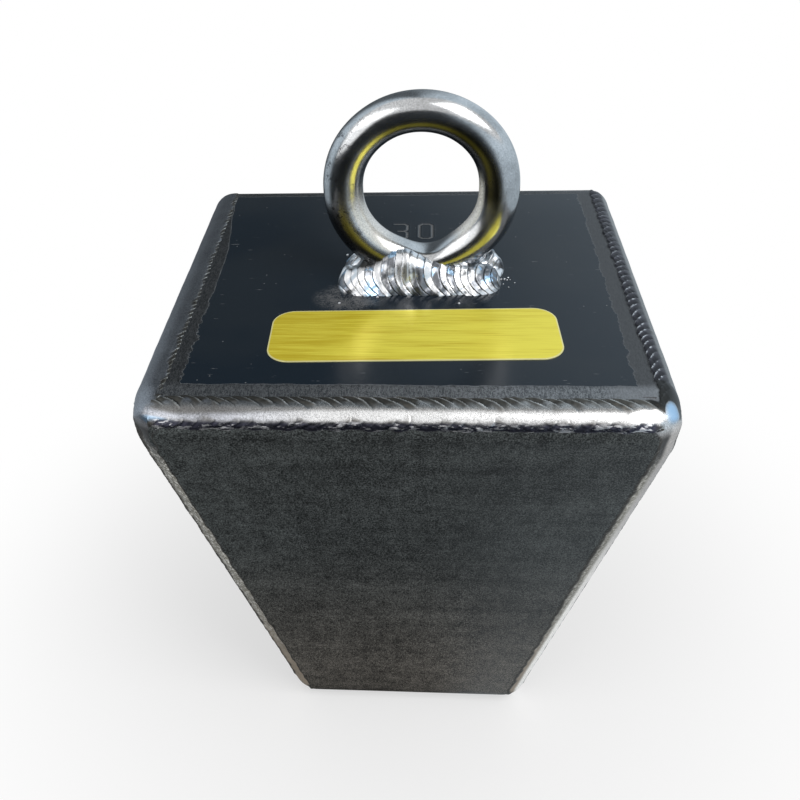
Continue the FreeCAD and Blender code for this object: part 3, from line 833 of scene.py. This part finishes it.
class Paint:
    """One material while its nodes are added."""

    def __init__(self, name):
        self.material = bpy.data.materials.new(name)
        self.material.use_nodes = True
        self.tree = self.material.node_tree
        self.tree.nodes.clear()
        self.place = self.node("ShaderNodeTexCoord", output="Object")

    def node(self, kind, settings=None, inputs=None, output=0):
        """Adds a node: its settings first, then the values or links of its inputs."""
        node = self.tree.nodes.new(kind)
        for name, value in (settings or {}).items():
            setattr(node, name, value)
        for name, value in (inputs or {}).items():
            if isinstance(value, tuple) and len(value) == 3 and "Color" in str(name):
                value = (*value, 1)
            if isinstance(value, Value):
                self.tree.links.new(value.socket, node.inputs[name])
            else:
                node.inputs[name].default_value = value
        return Value(self, node.outputs[output])

    def stretch(self, x, y, z):
        """Object coordinates multiplied axis by axis."""
        return self.node("ShaderNodeVectorMath", {"operation": "MULTIPLY"},
                         {0: self.place, 1: (x, y, z)})

    def noise(self, size, detail=3.0, rough=0.55, stretch=(1, 1, 1)):
        """Noise 0..1 whose features are about `size` metres across, drawn out by `stretch`."""
        vector = self.stretch(*(1 / (size * pull) for pull in stretch))
        return self.node("ShaderNodeTexNoise", None, {"Vector": vector, "Scale": 1.0,
                                                      "Detail": detail, "Roughness": rough})

    def axes(self):
        """The three parts of the object coordinates."""
        split = self.node("ShaderNodeSeparateXYZ", None, {0: self.place})
        outputs = split.socket.node.outputs
        return [Value(self, outputs[index]) for index in range(3)]

    def attribute(self, name):
        """A value that the piece's mesh holds for each point."""
        return self.node("ShaderNodeAttribute", {"attribute_name": name}, output="Fac")

    def spot(self, middle, reach):
        """1 in the middle of an ellipsoid, given in millimetres, and 0 from its surface on."""
        parts = [(axis - centre * MM) * (1 / (size * MM))
                 for axis, centre, size in zip(self.axes(), middle, reach)]
        away = sum((part * part for part in parts[1:]), parts[0] * parts[0])
        return 1 - away.ramp(0.0, 1.0)

    def scaled(self, colour, factor):
        """A colour multiplied by a value."""
        return self.node("ShaderNodeVectorMath", {"operation": "SCALE"},
                         {0: colour, "Scale": factor})

    def mix(self, share, first, second):
        """Colours mixed by a share 0..1."""
        colours = {6: first if isinstance(first, Value) else (*first, 1),
                   7: second if isinstance(second, Value) else (*second, 1)}
        return self.node("ShaderNodeMix", {"data_type": "RGBA"}, {0: share, **colours}, output=2)

    def finish(self, colour, roughness, metallic=1.0, height=None, depth=0.0, **constants):
        """Closes the material with one shader. `height` in metres times `depth` gives the bump."""
        inputs = {"Base Color": colour, "Roughness": roughness, "Metallic": metallic}
        inputs.update({name.replace("_", " "): value for name, value in constants.items()})
        if height is not None:
            inputs["Normal"] = self.node("ShaderNodeBump", None,
                                         {"Height": height * depth, "Distance": 1.0})
        shader = self.node("ShaderNodeBsdfPrincipled", None, inputs)
        output = self.tree.nodes.new("ShaderNodeOutputMaterial")
        self.tree.links.new(shader.socket, output.inputs["Surface"])
        return self.material


def scale_field(paint, wander, ragged):
    """How far a place on top lies inside the field of mill scale, in metres.

    The field's border swings out at the left back, and is ragged at the left front and along the
    right side.
    """
    x, y, _ = paint.axes()
    left = x + 62.2 * MM + y.ramp(0.01, 0.06) * (4 * MM)
    left = left + (wander * (7 * MM) + ragged * (2.4 * MM)) * (0.2 + 0.8 * (1 - y.ramp(-0.03, 0.0)))
    right = 63.9 * MM - x + wander * (4 * MM) + ragged * (2.2 * MM)
    ends = (y + 61.8 * MM).least(63.8 * MM - y) + wander * (1.6 * MM) + ragged * (0.7 * MM)
    return left.least(right).least(ends)


def border_colour(paint, inside, scratch, grain, ragged):
    """Ground grey border: scratched, calmer on the right, lighter in front, with a pale rim."""
    x, y, _ = paint.axes()
    border = paint.mix((scratch * 0.5 + grain * 0.5).ramp(0.4, 0.6), (0.04, 0.043, 0.046),
                       (0.15, 0.155, 0.16))
    border = paint.mix(x.ramp(0.052, 0.060) * 0.65, border, (0.135, 0.137, 0.142))
    front_lit = (1 - y.ramp(-0.064, -0.060)) * (0.7 + 0.6 * x.ramp(-0.05, 0.05)) + 0.75
    border = paint.scaled(border, front_lit)
    rim = (1 - (inside * (1 / (0.4 * MM))).math("ABSOLUTE")).most(0.0).ramp(0.1, 0.8)
    rim = rim * (0.35 + 0.5 * ragged.ramp(-0.1, 0.1)) * (1 - 0.7 * x.ramp(0.03, 0.05))
    return paint.mix(rim, border, (0.34, 0.35, 0.36))


def scale_colour(paint, colours, soot, mottle, cloud):
    """Blue-black mill scale with dust, fine nicks and soot beside the front weld."""
    scale = paint.mix(cloud.ramp(0.35, 0.65), colours.scale, colours.scale_dull)
    speck = paint.node("ShaderNodeTexVoronoi", {"feature": "F1"},
                       {"Vector": paint.place, "Scale": 240.0}, output="Distance")
    dust = (1 - speck.ramp(0.025, 0.07)) * paint.noise(9 * MM, 1.0).ramp(0.45, 0.58)
    nick = paint.noise(0.45 * MM, 1.0, 0.5, (14, 1, 1)).ramp(0.74, 0.79) * mottle.ramp(0.48, 0.6)
    scale = paint.mix((dust * 0.55).most(nick * 0.5), scale, (0.32, 0.33, 0.34))
    return paint.mix(soot * 0.75, scale, (0.17, 0.17, 0.17))


def rolled_finish(paint, settings, height):
    """Colour, roughness, metallic and relief of rolled plate, with the scale ground off near the
    welds on top: a blue-black field inside a grey border on top, and a mottled grey elsewhere."""
    colours = settings.colours
    x, y, z = paint.axes()
    on_top = z.ramp(height - 1.0 * MM, height - 0.4 * MM)
    grain = paint.noise(0.45 * MM, 3.0, 0.85)
    mottle = paint.noise(4.5 * MM, 4.0, 0.65)
    cloud = paint.noise(38 * MM, 3.0, 0.5)
    band = paint.noise(14 * MM, 3.0, 0.65, (9, 9, 0.35))
    shade = (grain * 9.5 + mottle * 1.8 + cloud * 1.2 + band * 1.2 - 5.95).most(0.15)
    rolled = paint.mix(1 - z.ramp(0.01, 0.11), colours.rolled, colours.warm)
    rolled = paint.scaled(rolled, shade)

    ragged = paint.noise(1.8 * MM, 3.0, 0.75) - 0.5
    inside = scale_field(paint, paint.noise(8 * MM, 3.0, 0.6) - 0.5, ragged)
    field = inside.ramp(-0.1 * MM, 0.1 * MM)
    scratch = paint.noise(0.35 * MM, 2.0, 0.7, (1, 4, 1))
    # Soot lies in an ellipse left of the front weld.
    across, back = (x + 17.5 * MM) * (1 / (12 * MM)), (y + 14 * MM) * (1 / (9 * MM))
    soot = (1 - (across * across + back * back).ramp(0.1, 1.2)) \
        * (mottle * 0.5 + grain * 0.5).ramp(0.43, 0.6)
    top = paint.mix(field, border_colour(paint, inside, scratch, grain, ragged),
                    scale_colour(paint, colours, soot, mottle, cloud))

    rough_top = 0.17 + 0.08 * cloud + (1 - field) * 0.2 + soot * 0.25
    rough = on_top * rough_top + (1 - on_top) * (0.44 + 0.14 * mottle)
    metal = on_top * (1 - field) * 0.8
    relief = (grain * 0.05 + mottle * 0.04) * (1 - on_top) \
        + on_top * (0.006 * grain + 0.03 * field + (1 - field) * scratch * 0.025)
    return paint.mix(on_top, rolled, top), rough, metal, relief


def plate_material(settings, height):
    """Rolled plate; inside the strokes of the struck number the scale has broken off."""
    paint = Paint("rolled_plate")
    colour_out, rough, metal, relief = rolled_finish(paint, settings, height)
    struck = paint.attribute("struck")
    colour_out = paint.mix(struck * 0.85, colour_out, (0.17, 0.175, 0.18))
    rough = rough + 0.2 * struck
    return paint.finish(colour_out, rough, metal, relief, MM, Specular_IOR_Level=0.4)


def toe_colour(paint, colours, ripple, low):
    """Ripples beside the crown: pale rims, and painted shade in the hollows. Where `low` is 1, under
    the front crown, painted shade darkens them bluish, with bright streaks where the grinder
    touched."""
    touched = 0.45 + 0.55 * paint.noise(6 * MM, 1.0).ramp(0.42, 0.56)
    toe = paint.mix((1 - ripple.ramp(0.0, 0.3)) * touched, colours.toe, colours.rim)
    # Painted shade in the hollow before each rim.
    toe = paint.mix(ripple.ramp(0.7, 1.0) * 0.8, toe, (0.03, 0.03, 0.03))
    # Painted shade, bluish, under the front crown.
    toe = paint.mix(low * 0.9, toe, colours.shaded_toe)
    streak = paint.noise(1.3 * MM, 3.0, 0.7, (3.5, 1, 1)).ramp(0.53, 0.6)
    return paint.mix(low * streak, toe, (0.6, 0.6, 0.62))


def crown_colour(paint, colours, height, shine, speckle, patch):
    """Ground crown: brighter the more painted light it gets, with a bluish painted sheen to the left
    and painted shade at its top edge.
    """
    x, y, z = paint.axes()
    leftward = 1 - x.ramp(-0.062, -0.015)
    # Painted shade along the crown's top edge, wider to the left.
    satin = (1 - y.ramp(-0.071, -0.069)) * z.ramp(height - 1.1 * MM - leftward * (0.9 * MM),
                                                  height - 0.35 * MM - leftward * (0.7 * MM))
    bright = shine * (1 - (0.75 + 0.1 * leftward) * satin)
    # A bluish painted sheen to the left.
    crown = paint.mix(leftward * 0.6, colours.ground, (0.60, 0.66, 0.84))
    crown = paint.mix(bright, colours.dull, crown)
    return paint.scaled(crown, (speckle * 2.4 + patch * 0.6 - 0.5).most(0.15))


def slant_colour(paint, colours, over, speckle, patch):
    """The slanting beads beside the front: satin with bright specks, brownish low down and dark
    just under the corner. The right one has a painted highlight on its outer half, brighter low
    down."""
    x, _, z = paint.axes()
    rightward = x.ramp(-0.01, 0.01)
    specks = paint.noise(1.1 * MM, 3.0, 0.85).ramp(0.50, 0.60) * z.ramp(0.02, 0.06) \
        * (1 - z.ramp(0.135, 0.150)) * (0.7 - 0.3 * rightward)
    plain = paint.mix(1 - z.ramp(0.015, 0.07), colours.satin, (0.20, 0.17, 0.135))
    plain = paint.mix(z.ramp(0.130, 0.148), plain, (0.038, 0.038, 0.038))
    plain = paint.mix(specks, plain, (0.60, 0.60, 0.57))
    plain = paint.scaled(plain, 0.85 + 1.2 * patch)
    # Painted highlight on the right bead's outer half, brighter low down.
    lit_outer_half = paint.mix(z.ramp(0.05, 0.14), (0.90, 0.89, 0.86), (0.40, 0.39, 0.38))
    lit_outer_half = paint.scaled(lit_outer_half, speckle * 1.6 + 0.25)
    return paint.mix((1 - over.ramp(0.2, 0.55)) * rightward, plain, lit_outer_half)


def shaded_ripple_colour(paint, over, ripple, speckle, patch):
    """Ripples darkened with painted shade to nearly black, with painted highlights on the rims at
    their toe that fade towards the back.
    """
    y = paint.axes()[1]
    dark = paint.mix(ripple.ramp(0.1, 0.8), (0.060, 0.056, 0.070), (0.016, 0.015, 0.020))
    dark = paint.scaled(dark, (speckle * 2.0 + patch * 1.2 - 0.6).most(0.2))
    rims = (1 - ripple.ramp(0.05, 0.35)) * over.ramp(0.5, 0.7) * (1 - y.ramp(-0.045, 0.05) * 0.8) \
        * paint.noise(2.2 * MM, 2.0, 0.7).ramp(0.44, 0.56)
    return paint.mix(rims, dark, (0.80, 0.80, 0.82))


def edge_bead_material(settings, height):
    """Ground crown, rippled toes and the same rolled plate beside the bead.

    The left end of the front bead is heat tinted, and its right front corner has a painted bluish
    reflection. The right bead's top is darkened with painted shade but for a thin strip outside,
    and it is scorched smooth behind the front corner.
    """
    paint = Paint("edge_bead")
    colours = settings.colours
    x, y, z = paint.axes()
    beside, rough_plate, metal_plate, relief_plate = rolled_finish(paint, settings, height)
    is_bead, ground, ripple, shine, over = map(
        paint.attribute, ("bead", "ground", "ripple", "shine", "over"))
    speckle = paint.noise(0.42 * MM, 3.0, 0.8)
    patch = paint.noise(10 * MM, 3.0, 0.6)

    # Where each finish lies: painted shade under the front crown, the slants, and painted shade on
    # top at the right.
    front = (1 - y.ramp(-0.0725, -0.071)) * z.ramp(height - 9 * MM, height - 7 * MM)
    low = front * (1 - z.ramp(height - 3.5 * MM, height - 2.4 * MM)) \
        * (1 - x.math("ABSOLUTE").ramp(0.066, 0.069))
    slant = (1 - z.ramp(height - 8.5 * MM, height - 4.0 * MM)) * (1 - y.ramp(-0.03, -0.015))
    on_right = x.ramp(0.060, 0.062) * z.ramp(height - 6 * MM, height - 4 * MM)
    # Painted shade over the right bead's top, but for a thin strip outside.
    shaded_top = over.ramp(0.12, 0.38) * on_right * y.ramp(-0.068, -0.063)
    # Blue spots: heat tint at the left end of the front crown, and a painted bluish reflection at
    # the right front corner.
    tint = paint.spot((-67, -75.5, 154.6), (8, 6, 1.9)).most(paint.spot((73, -71, 157), (4, 6, 4)))
    scorched = paint.spot((71, -65, 157), (8, 8, 8)).ramp(0.1, 0.4) * (1 - tint.ramp(0.1, 0.35))

    toe = toe_colour(paint, colours, ripple, low)
    toe = paint.mix(slant * 0.85, toe, (0.035, 0.035, 0.033))
    crown = crown_colour(paint, colours, height, shine, speckle, patch)
    crown = paint.mix((tint * 1.2).least(0.9), crown, colours.heat)
    crown = paint.mix(slant, crown, slant_colour(paint, colours, over, speckle, patch))
    # Under the front crown the toe's painted shade takes the place of most of the crown.
    bead = paint.mix(ground * (1 - low * 0.8), toe, crown)
    bead = paint.mix(shaded_top * 0.95, bead, shaded_ripple_colour(paint, over, ripple, speckle, patch))
    bead = paint.mix(scorched * 0.95, bead, (0.032, 0.032, 0.030))

    rough_bead = 0.19 + 0.14 * speckle + 0.08 * (1 - ground) + 0.1 * (1 - shine) + 0.3 * slant
    rough = is_bead * rough_bead + (1 - is_bead) * rough_plate
    metal = is_bead * (1 - 0.85 * slant) + (1 - is_bead) * metal_plate
    relief = relief_plate * (1 - is_bead) + is_bead * speckle * 0.018
    return paint.finish(paint.mix(is_bead, beside, bead), rough, metal, relief, MM,
                        Specular_IOR_Level=0.4)


def ring_material(settings):
    """Drawn bar: bright steel with a fine grain, a little handling haze and dark marks of scale,
    with painted dark reflections and pale painted highlights.
    """
    paint = Paint("ring_bar")
    x, _, z = paint.axes()
    haze = paint.noise(14 * MM, 4.0, 0.6)
    fine = paint.noise(0.45 * MM, 3.0, 0.8)
    marks = paint.noise(2.5 * MM, 4.0, 0.8).ramp(0.56, 0.64) * (1 - x.ramp(-0.02, 0.0)) * 0.75
    shade = paint.mix(haze.ramp(0.35, 0.65), (0.44, 0.45, 0.455), settings.colours.ring)
    shade = paint.mix(marks, shade, (0.05, 0.05, 0.055))
    inner = paint.attribute("inner")
    # Painted dark reflections: on the inside from the middle rightwards and up, and on the outside
    # low on the left.
    dark_reflection = inner.ramp(-0.1, 0.2) * x.ramp(-0.018, -0.002) * z.ramp(0.178, 0.190) \
        * (0.78 + 0.14 * x.ramp(0.005, 0.02))
    dark_reflection = dark_reflection.most((1 - inner.ramp(-0.2, 0.35)) * (1 - x.ramp(-0.004, 0.006))
                         * (1 - z.ramp(0.180, 0.194)) * 0.9)
    shade = paint.scaled(shade, 1 - dark_reflection)
    # Painted highlights, as pale strips: inside low on the right, and beside the inside low on the
    # left.
    pale_highlight = inner.ramp(0.70, 0.88) * x.ramp(0.012, 0.02) * (1 - z.ramp(0.190, 0.200)) \
        * z.ramp(0.169, 0.177) * 1.2
    pale_highlight = pale_highlight.most(inner.ramp(0.30, 0.5) * (1 - x.ramp(-0.008, 0.002))
                         * (1 - z.ramp(0.182, 0.196)) * 0.85)
    pale_highlight = pale_highlight * (fine * 0.8 + 0.5).least(1.0)
    shade = paint.mix(pale_highlight * 0.85, shade, (0.80, 0.80, 0.77))
    shade = paint.scaled(shade, fine * 1.2 + 0.4)
    return paint.finish(shade, 0.13 + 0.10 * haze + 0.1 * marks + 0.1 * dark_reflection, 1 - 0.75 * pale_highlight,
                        fine * 0.016, MM)


def ring_bead_material(settings):
    """Fresh bead: bright silver ripples, painted shade in the creases between them and a few blued
    ones.
    """
    paint = Paint("ring_bead")
    colours = settings.colours
    ripple, tone = paint.attribute("ripple"), paint.attribute("tone")
    patch = paint.noise(7 * MM, 3.0, 0.6)
    fine = paint.noise(0.6 * MM, 3.0, 0.7)
    dark = tone.ramp(0.45, 0.6) * patch.ramp(0.42, 0.54)
    dark = dark.most(tone.ramp(0.3, 0.45) * paint.spot((8, -11, 160), (7, 9, 8)).ramp(0.1, 0.4))
    shade = paint.mix(dark * 0.85, colours.bead, (0.09, 0.10, 0.12))
    shade = paint.mix(dark * paint.noise(5 * MM, 2.0).ramp(0.55, 0.64), shade, colours.heat)
    shade = paint.mix(paint.spot((-10.5, -12, 160), (3.2, 6, 5)) * 0.9, shade, colours.heat)
    # Painted shade in the crease before each ripple's rim.
    shade = paint.mix(ripple.ramp(0.8, 1.0) * 0.8, shade, (0.05, 0.055, 0.06))
    return paint.finish(shade, 0.22 + 0.14 * fine, 1.0, fine * 0.025, MM)


def label_material(settings):
    """Gold foil brushed from left to right, with a pale cut edge."""
    paint = Paint("foil_label")
    colours = settings.colours
    brush = paint.noise(0.5 * MM, 4.0, 0.7, (45, 1, 1))
    broad = paint.noise(3.5 * MM, 2.0, 0.6, (9, 1, 1))
    # Painted light: the foil is lighter to the right.
    lighter = paint.axes()[0].ramp(-0.045, 0.05) * 0.14 - 0.05
    shade = (brush * 0.7 + broad * 0.4 + lighter).ramp(0.4, 0.68)
    shade = paint.mix(shade, colours.foil_dark, colours.foil)
    shade = paint.mix(paint.attribute("edge") * 0.85, shade, colours.foil_edge)
    return paint.finish(shade, 0.18 + 0.12 * brush, 0.3, brush * 0.03, MM)


def spatter_material():
    """Drops of weld metal, from dull to bright."""
    paint = Paint("spatter")
    grey = paint.noise(3 * MM, 1.0)
    return paint.finish(paint.mix(grey.ramp(0.4, 0.6), (0.30, 0.30, 0.31), (0.75, 0.76, 0.78)),
                        0.35, 1.0)


def ballast_material():
    """Packed scrap, sealed inside: dark rusty steel."""
    paint = Paint("ballast")
    lumps = paint.noise(12 * MM, 4.0, 0.6)
    return paint.finish(paint.mix(lumps, (0.05, 0.03, 0.02), (0.14, 0.12, 0.11)), 0.7, 0.4,
                        lumps, MM)


def give_finish(node, material):
    """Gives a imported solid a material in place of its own."""
    node.data.materials.clear()
    node.data.materials.append(material)


# Operators, one for each piece or group of pieces.

class ANCHOR_OT_plates(bpy.types.Operator):
    """Folded strip with the struck number, and the finish of both side plates"""
    bl_idname = "anchor.plates"
    bl_label = "Plates"
    bl_options = {"REGISTER", "UNDO"}

    def execute(self, context):
        settings = context.scene.anchor
        hull = Hull(settings.body)
        material = plate_material(settings, hull.body.height)
        dress(make_folded_plate(hull, settings), "plate", material, "folded_shell")
        for node in ("left_side_plate", "right_side_plate"):
            give_finish(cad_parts[node], material)
        return {"FINISHED"}


class ANCHOR_OT_edge_beads(bpy.types.Operator):
    """Weld beads round both side plates and along the front seam"""
    bl_idname = "anchor.edge_beads"
    bl_label = "Edge beads"
    bl_options = {"REGISTER", "UNDO"}

    def execute(self, context):
        settings = context.scene.anchor
        hull = Hull(settings.body)
        material = edge_bead_material(settings, hull.body.height)
        for side, word in ((-1, "left"), (1, "right")):
            nodes = [f"{word}_{edge}_weld" for edge in ("top", "front", "bottom", "back")]
            dress(make_side_bead(hull, side, settings), "ground_weld", material, *nodes)
        dress(make_seam_bead(hull, settings), "ground_weld", material, "top_front_seam_weld")
        return {"FINISHED"}


class ANCHOR_OT_ring(bpy.types.Operator):
    """Lifting ring of round bar"""
    bl_idname = "anchor.ring"
    bl_label = "Lifting ring"
    bl_options = {"REGISTER", "UNDO"}

    def execute(self, context):
        settings = context.scene.anchor
        dress(make_ring(settings), "ring", ring_material(settings), "lifting_ring")
        return {"FINISHED"}


class ANCHOR_OT_ring_beads(bpy.types.Operator):
    """Rippled welds in front of the ring and behind it"""
    bl_idname = "anchor.ring_beads"
    bl_label = "Ring welds"
    bl_options = {"REGISTER", "UNDO"}

    def execute(self, context):
        settings = context.scene.anchor
        material = ring_bead_material(settings)
        for side, node in ((-1, "ring_weld_front"), (1, "ring_weld_rear")):
            dress(make_ring_bead(settings, side), "bright_weld", material, node)
        return {"FINISHED"}


class ANCHOR_OT_spatter(bpy.types.Operator):
    """Drops of weld metal round the ring's foot"""
    bl_idname = "anchor.spatter"
    bl_label = "Weld spatter"
    bl_options = {"REGISTER", "UNDO"}

    def execute(self, context):
        settings = context.scene.anchor
        dress(make_spatter(settings), "bright_weld", spatter_material())
        return {"FINISHED"}


class ANCHOR_OT_label(bpy.types.Operator):
    """Bare gold foil label in front of the ring"""
    bl_idname = "anchor.label"
    bl_label = "Foil label"
    bl_options = {"REGISTER", "UNDO"}

    def execute(self, context):
        settings = context.scene.anchor
        dress(make_label(settings), "label", label_material(settings), "foil_label")
        return {"FINISHED"}


class ANCHOR_OT_ballast(bpy.types.Operator):
    """Finish of the ballast that is sealed inside"""
    bl_idname = "anchor.ballast"
    bl_label = "Ballast"
    bl_options = {"REGISTER", "UNDO"}

    def execute(self, context):
        give_finish(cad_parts["ballast_fill"], ballast_material())
        return {"FINISHED"}


def add_lamp(name, place, size, power):
    """A square soft lamp that is turned to the middle of the anchor."""
    data = bpy.data.lights.new(name, "AREA")
    data.shape = "RECTANGLE"
    data.size, data.size_y, data.energy = size, size, power
    lamp = bpy.data.objects.new(name, data)
    lamp.location = place
    towards = Vector((0, 0, 0.1)) - Vector(place)
    lamp.rotation_euler = towards.to_track_quat("-Z", "Y").to_euler()
    bpy.context.scene.collection.objects.link(lamp)


class ANCHOR_OT_stage(bpy.types.Operator):
    """Pale floor, soft lamps, white surroundings and the camera"""
    bl_idname = "anchor.stage"
    bl_label = "Studio"
    bl_options = {"REGISTER", "UNDO"}

    def execute(self, context):
        scene = context.scene
        scene.view_settings.view_transform = "Standard"
        self.add_floor(scene.anchor)
        self.add_surroundings(scene)
        add_lamp("key_lamp", (0.8, -0.6, 1.2), size=0.9, power=11.0)
        add_lamp("fill_lamp", (-1.0, -0.8, 0.8), size=1.2, power=6.0)
        self.add_reflected_surround()
        self.add_camera(scene)
        return {"FINISHED"}

    def add_floor(self, settings):
        """A pale matt floor that keeps the shadow and turns to plain white far from the object."""
        bpy.ops.mesh.primitive_plane_add(size=8)
        floor = bpy.context.object
        floor.name = "floor"
        paint = Paint("floor")
        matt = paint.node("ShaderNodeBsdfDiffuse", None, {"Color": tuple(settings.colours.floor)})
        white = paint.node("ShaderNodeEmission", None, {"Color": (1, 1, 1), "Strength": 1.0})
        x, y, _ = paint.axes()
        far = (x * x + y * y).math("SQRT").ramp(0.05, 0.23) * 0.45 + 0.55
        seen = paint.node("ShaderNodeLightPath", output="Is Camera Ray")
        surface = paint.node("ShaderNodeMixShader", None, {0: far * seen, 1: matt, 2: white})
        output = paint.tree.nodes.new("ShaderNodeOutputMaterial")
        paint.tree.links.new(surface.socket, output.inputs["Surface"])
        floor.data.materials.append(paint.material)

    def add_reflected_surround(self):
        """Grey cards on the floor, round the set and over its back: one hood that only gloss sees.

        They give bright metal its dark bands. The wall stands at 1.8 m, 0.9 m high in front, 0.6 m
        to the right and 1.7 m behind, where a canopy runs on to overhead. All is darkest to the
        front left and lightest to the right.
        """
        bearing = np.linspace(0, 2 * np.pi, 120, endpoint=False)[None, :]
        right, back = np.cos(bearing), np.sin(bearing)
        wall = 0.9 + 0.8 * np.clip(back, 0, 1) - 0.3 * np.clip(right, 0, 1)
        over = 0.04 + 0.94 * smooth_step(back, -0.1, 0.5)
        share = np.concatenate([np.zeros(3), np.linspace(0, 1, 9), np.ones(6)])[:, None]
        lean = np.concatenate([np.zeros(12), np.linspace(0, 1, 7)[1:]])[:, None]
        radius = np.array([0.01, 0.6, 1.2] + [1.8] * 15)[:, None] * (1 - over * lean)
        rise = 0.3 * MM + wall * share + 0.8 * over * np.sin(lean * np.pi / 2)
        points = np.stack([radius * right, radius * back, rise], -1)
        dark = smooth_step(np.cos(bearing + 2 * np.pi / 3), 0.45, 0.8)
        glow = 0.12 + 0.65 * smooth_step(-right, 0.5, 0.95) + 0.75 * smooth_step(right, -0.2, 0.4)
        glow = 0.015 + glow * (1 - 0.94 * dark) * (1 - 0.25 * (share == 0))
        card = add_mesh("reflected_surround", points.reshape(-1, 3),
                        grid_quads(*points.shape[:2], False).tolist(), {"glow": glow})
        paint = Paint("reflected_surround")
        light = paint.node("ShaderNodeEmission", None, {"Color": (0.78, 0.9, 1.0),
                                                        "Strength": paint.attribute("glow")})
        output = paint.tree.nodes.new("ShaderNodeOutputMaterial")
        paint.tree.links.new(light.socket, output.inputs["Surface"])
        card.data.materials.append(paint.material)
        for ray in ("camera", "diffuse", "transmission", "volume_scatter", "shadow"):
            setattr(card, f"visible_{ray}", False)

    def add_surroundings(self, scene):
        """A world that the camera, gloss and glass see white, and that lights all else grey."""
        world = bpy.data.worlds.new("studio")
        world.use_nodes = True
        scene.world = world
        nodes, links = world.node_tree.nodes, world.node_tree.links
        nodes.clear()
        path = nodes.new("ShaderNodeLightPath")
        seen = nodes.new("ShaderNodeMath")
        seen.operation = "MAXIMUM"
        links.new(path.outputs["Is Camera Ray"], seen.inputs[0])
        gloss = nodes.new("ShaderNodeMath")
        gloss.operation = "MAXIMUM"
        links.new(path.outputs["Is Glossy Ray"], gloss.inputs[0])
        links.new(path.outputs["Is Transmission Ray"], gloss.inputs[1])
        links.new(gloss.outputs[0], seen.inputs[1])
        background = nodes.new("ShaderNodeBackground")
        strength = nodes.new("ShaderNodeMapRange")
        strength.inputs["To Min"].default_value = 0.55
        strength.inputs["To Max"].default_value = 1.0
        links.new(seen.outputs[0], strength.inputs["Value"])
        links.new(strength.outputs[0], background.inputs["Strength"])
        output = nodes.new("ShaderNodeOutputWorld")
        links.new(background.outputs[0], output.inputs["Surface"])

    def add_camera(self, scene):
        """The photograph's view: its place, its three turns, its lens and its off-centre axis."""
        pitch, yaw, roll = math.radians(30.953), math.radians(5.509), math.radians(-2.885)
        focal_px, axis_px, frame_px = 981.375, Vector((345.795, 310.504)), 800
        place = Vector((0.007094, -0.283254, 0.316185))
        turn = Matrix.Rotation(yaw, 3, "Z")
        right = turn @ Vector((1, 0, 0))
        forward = turn @ Vector((0, math.cos(pitch), -math.sin(pitch)))
        up = turn @ Vector((0, math.sin(pitch), math.cos(pitch)))
        across = math.cos(roll) * right + math.sin(roll) * up
        upward = math.cos(roll) * up - math.sin(roll) * right
        data = bpy.data.cameras.new("camera")
        data.sensor_width = 36
        data.lens = data.sensor_width * focal_px / frame_px
        data.shift_x = (frame_px / 2 - axis_px.x) / frame_px
        data.shift_y = (axis_px.y - frame_px / 2) / frame_px
        data.clip_start, data.clip_end = 0.01, 20
        camera = bpy.data.objects.new("camera", data)
        turned = Matrix((across, upward, -forward)).transposed().to_4x4()
        camera.matrix_world = Matrix.Translation(place) @ turned
        scene.collection.objects.link(camera)
        scene.camera = camera


class ANCHOR_PT_sidebar(bpy.types.Panel):
    """Lists the anchor's operators and settings"""
    bl_label = "Pyramid anchor"
    bl_idname = "ANCHOR_PT_sidebar"
    bl_space_type = "VIEW_3D"
    bl_region_type = "UI"
    bl_category = "Anchor"

    def draw(self, context):
        settings = context.scene.anchor
        for operator in OPERATORS:
            self.layout.operator(operator.bl_idname)
        for group in (settings.body, settings.stamp, settings.bead, settings.ring,
                      settings.label, settings.colours):
            box = self.layout.box()
            for name in group.__annotations__:
                box.prop(group, name)


GROUPS = (BodySizes, StampSizes, BeadSizes, RingSizes, LabelSizes, AnchorColours, AnchorSettings)
OPERATORS = (ANCHOR_OT_plates, ANCHOR_OT_edge_beads, ANCHOR_OT_ring, ANCHOR_OT_ring_beads,
             ANCHOR_OT_spatter, ANCHOR_OT_label, ANCHOR_OT_ballast, ANCHOR_OT_stage)
CLASSES = (*GROUPS, *OPERATORS, ANCHOR_PT_sidebar)


def register():
    """Registers the classes and gives every scene its anchor settings."""
    for item in CLASSES:
        bpy.utils.register_class(item)
    bpy.types.Scene.anchor = PointerProperty(type=AnchorSettings)


def unregister():
    """Takes away what register added."""
    del bpy.types.Scene.anchor
    for item in reversed(CLASSES):
        bpy.utils.unregister_class(item)


def main():
    """Builds every piece and the stage."""
    register()
    bpy.ops.anchor.plates()
    bpy.ops.anchor.edge_beads()
    bpy.ops.anchor.ring()
    bpy.ops.anchor.ring_beads()
    bpy.ops.anchor.spatter()
    bpy.ops.anchor.label()
    bpy.ops.anchor.ballast()
    bpy.ops.anchor.stage()


if __name__ == "__main__":
    main()
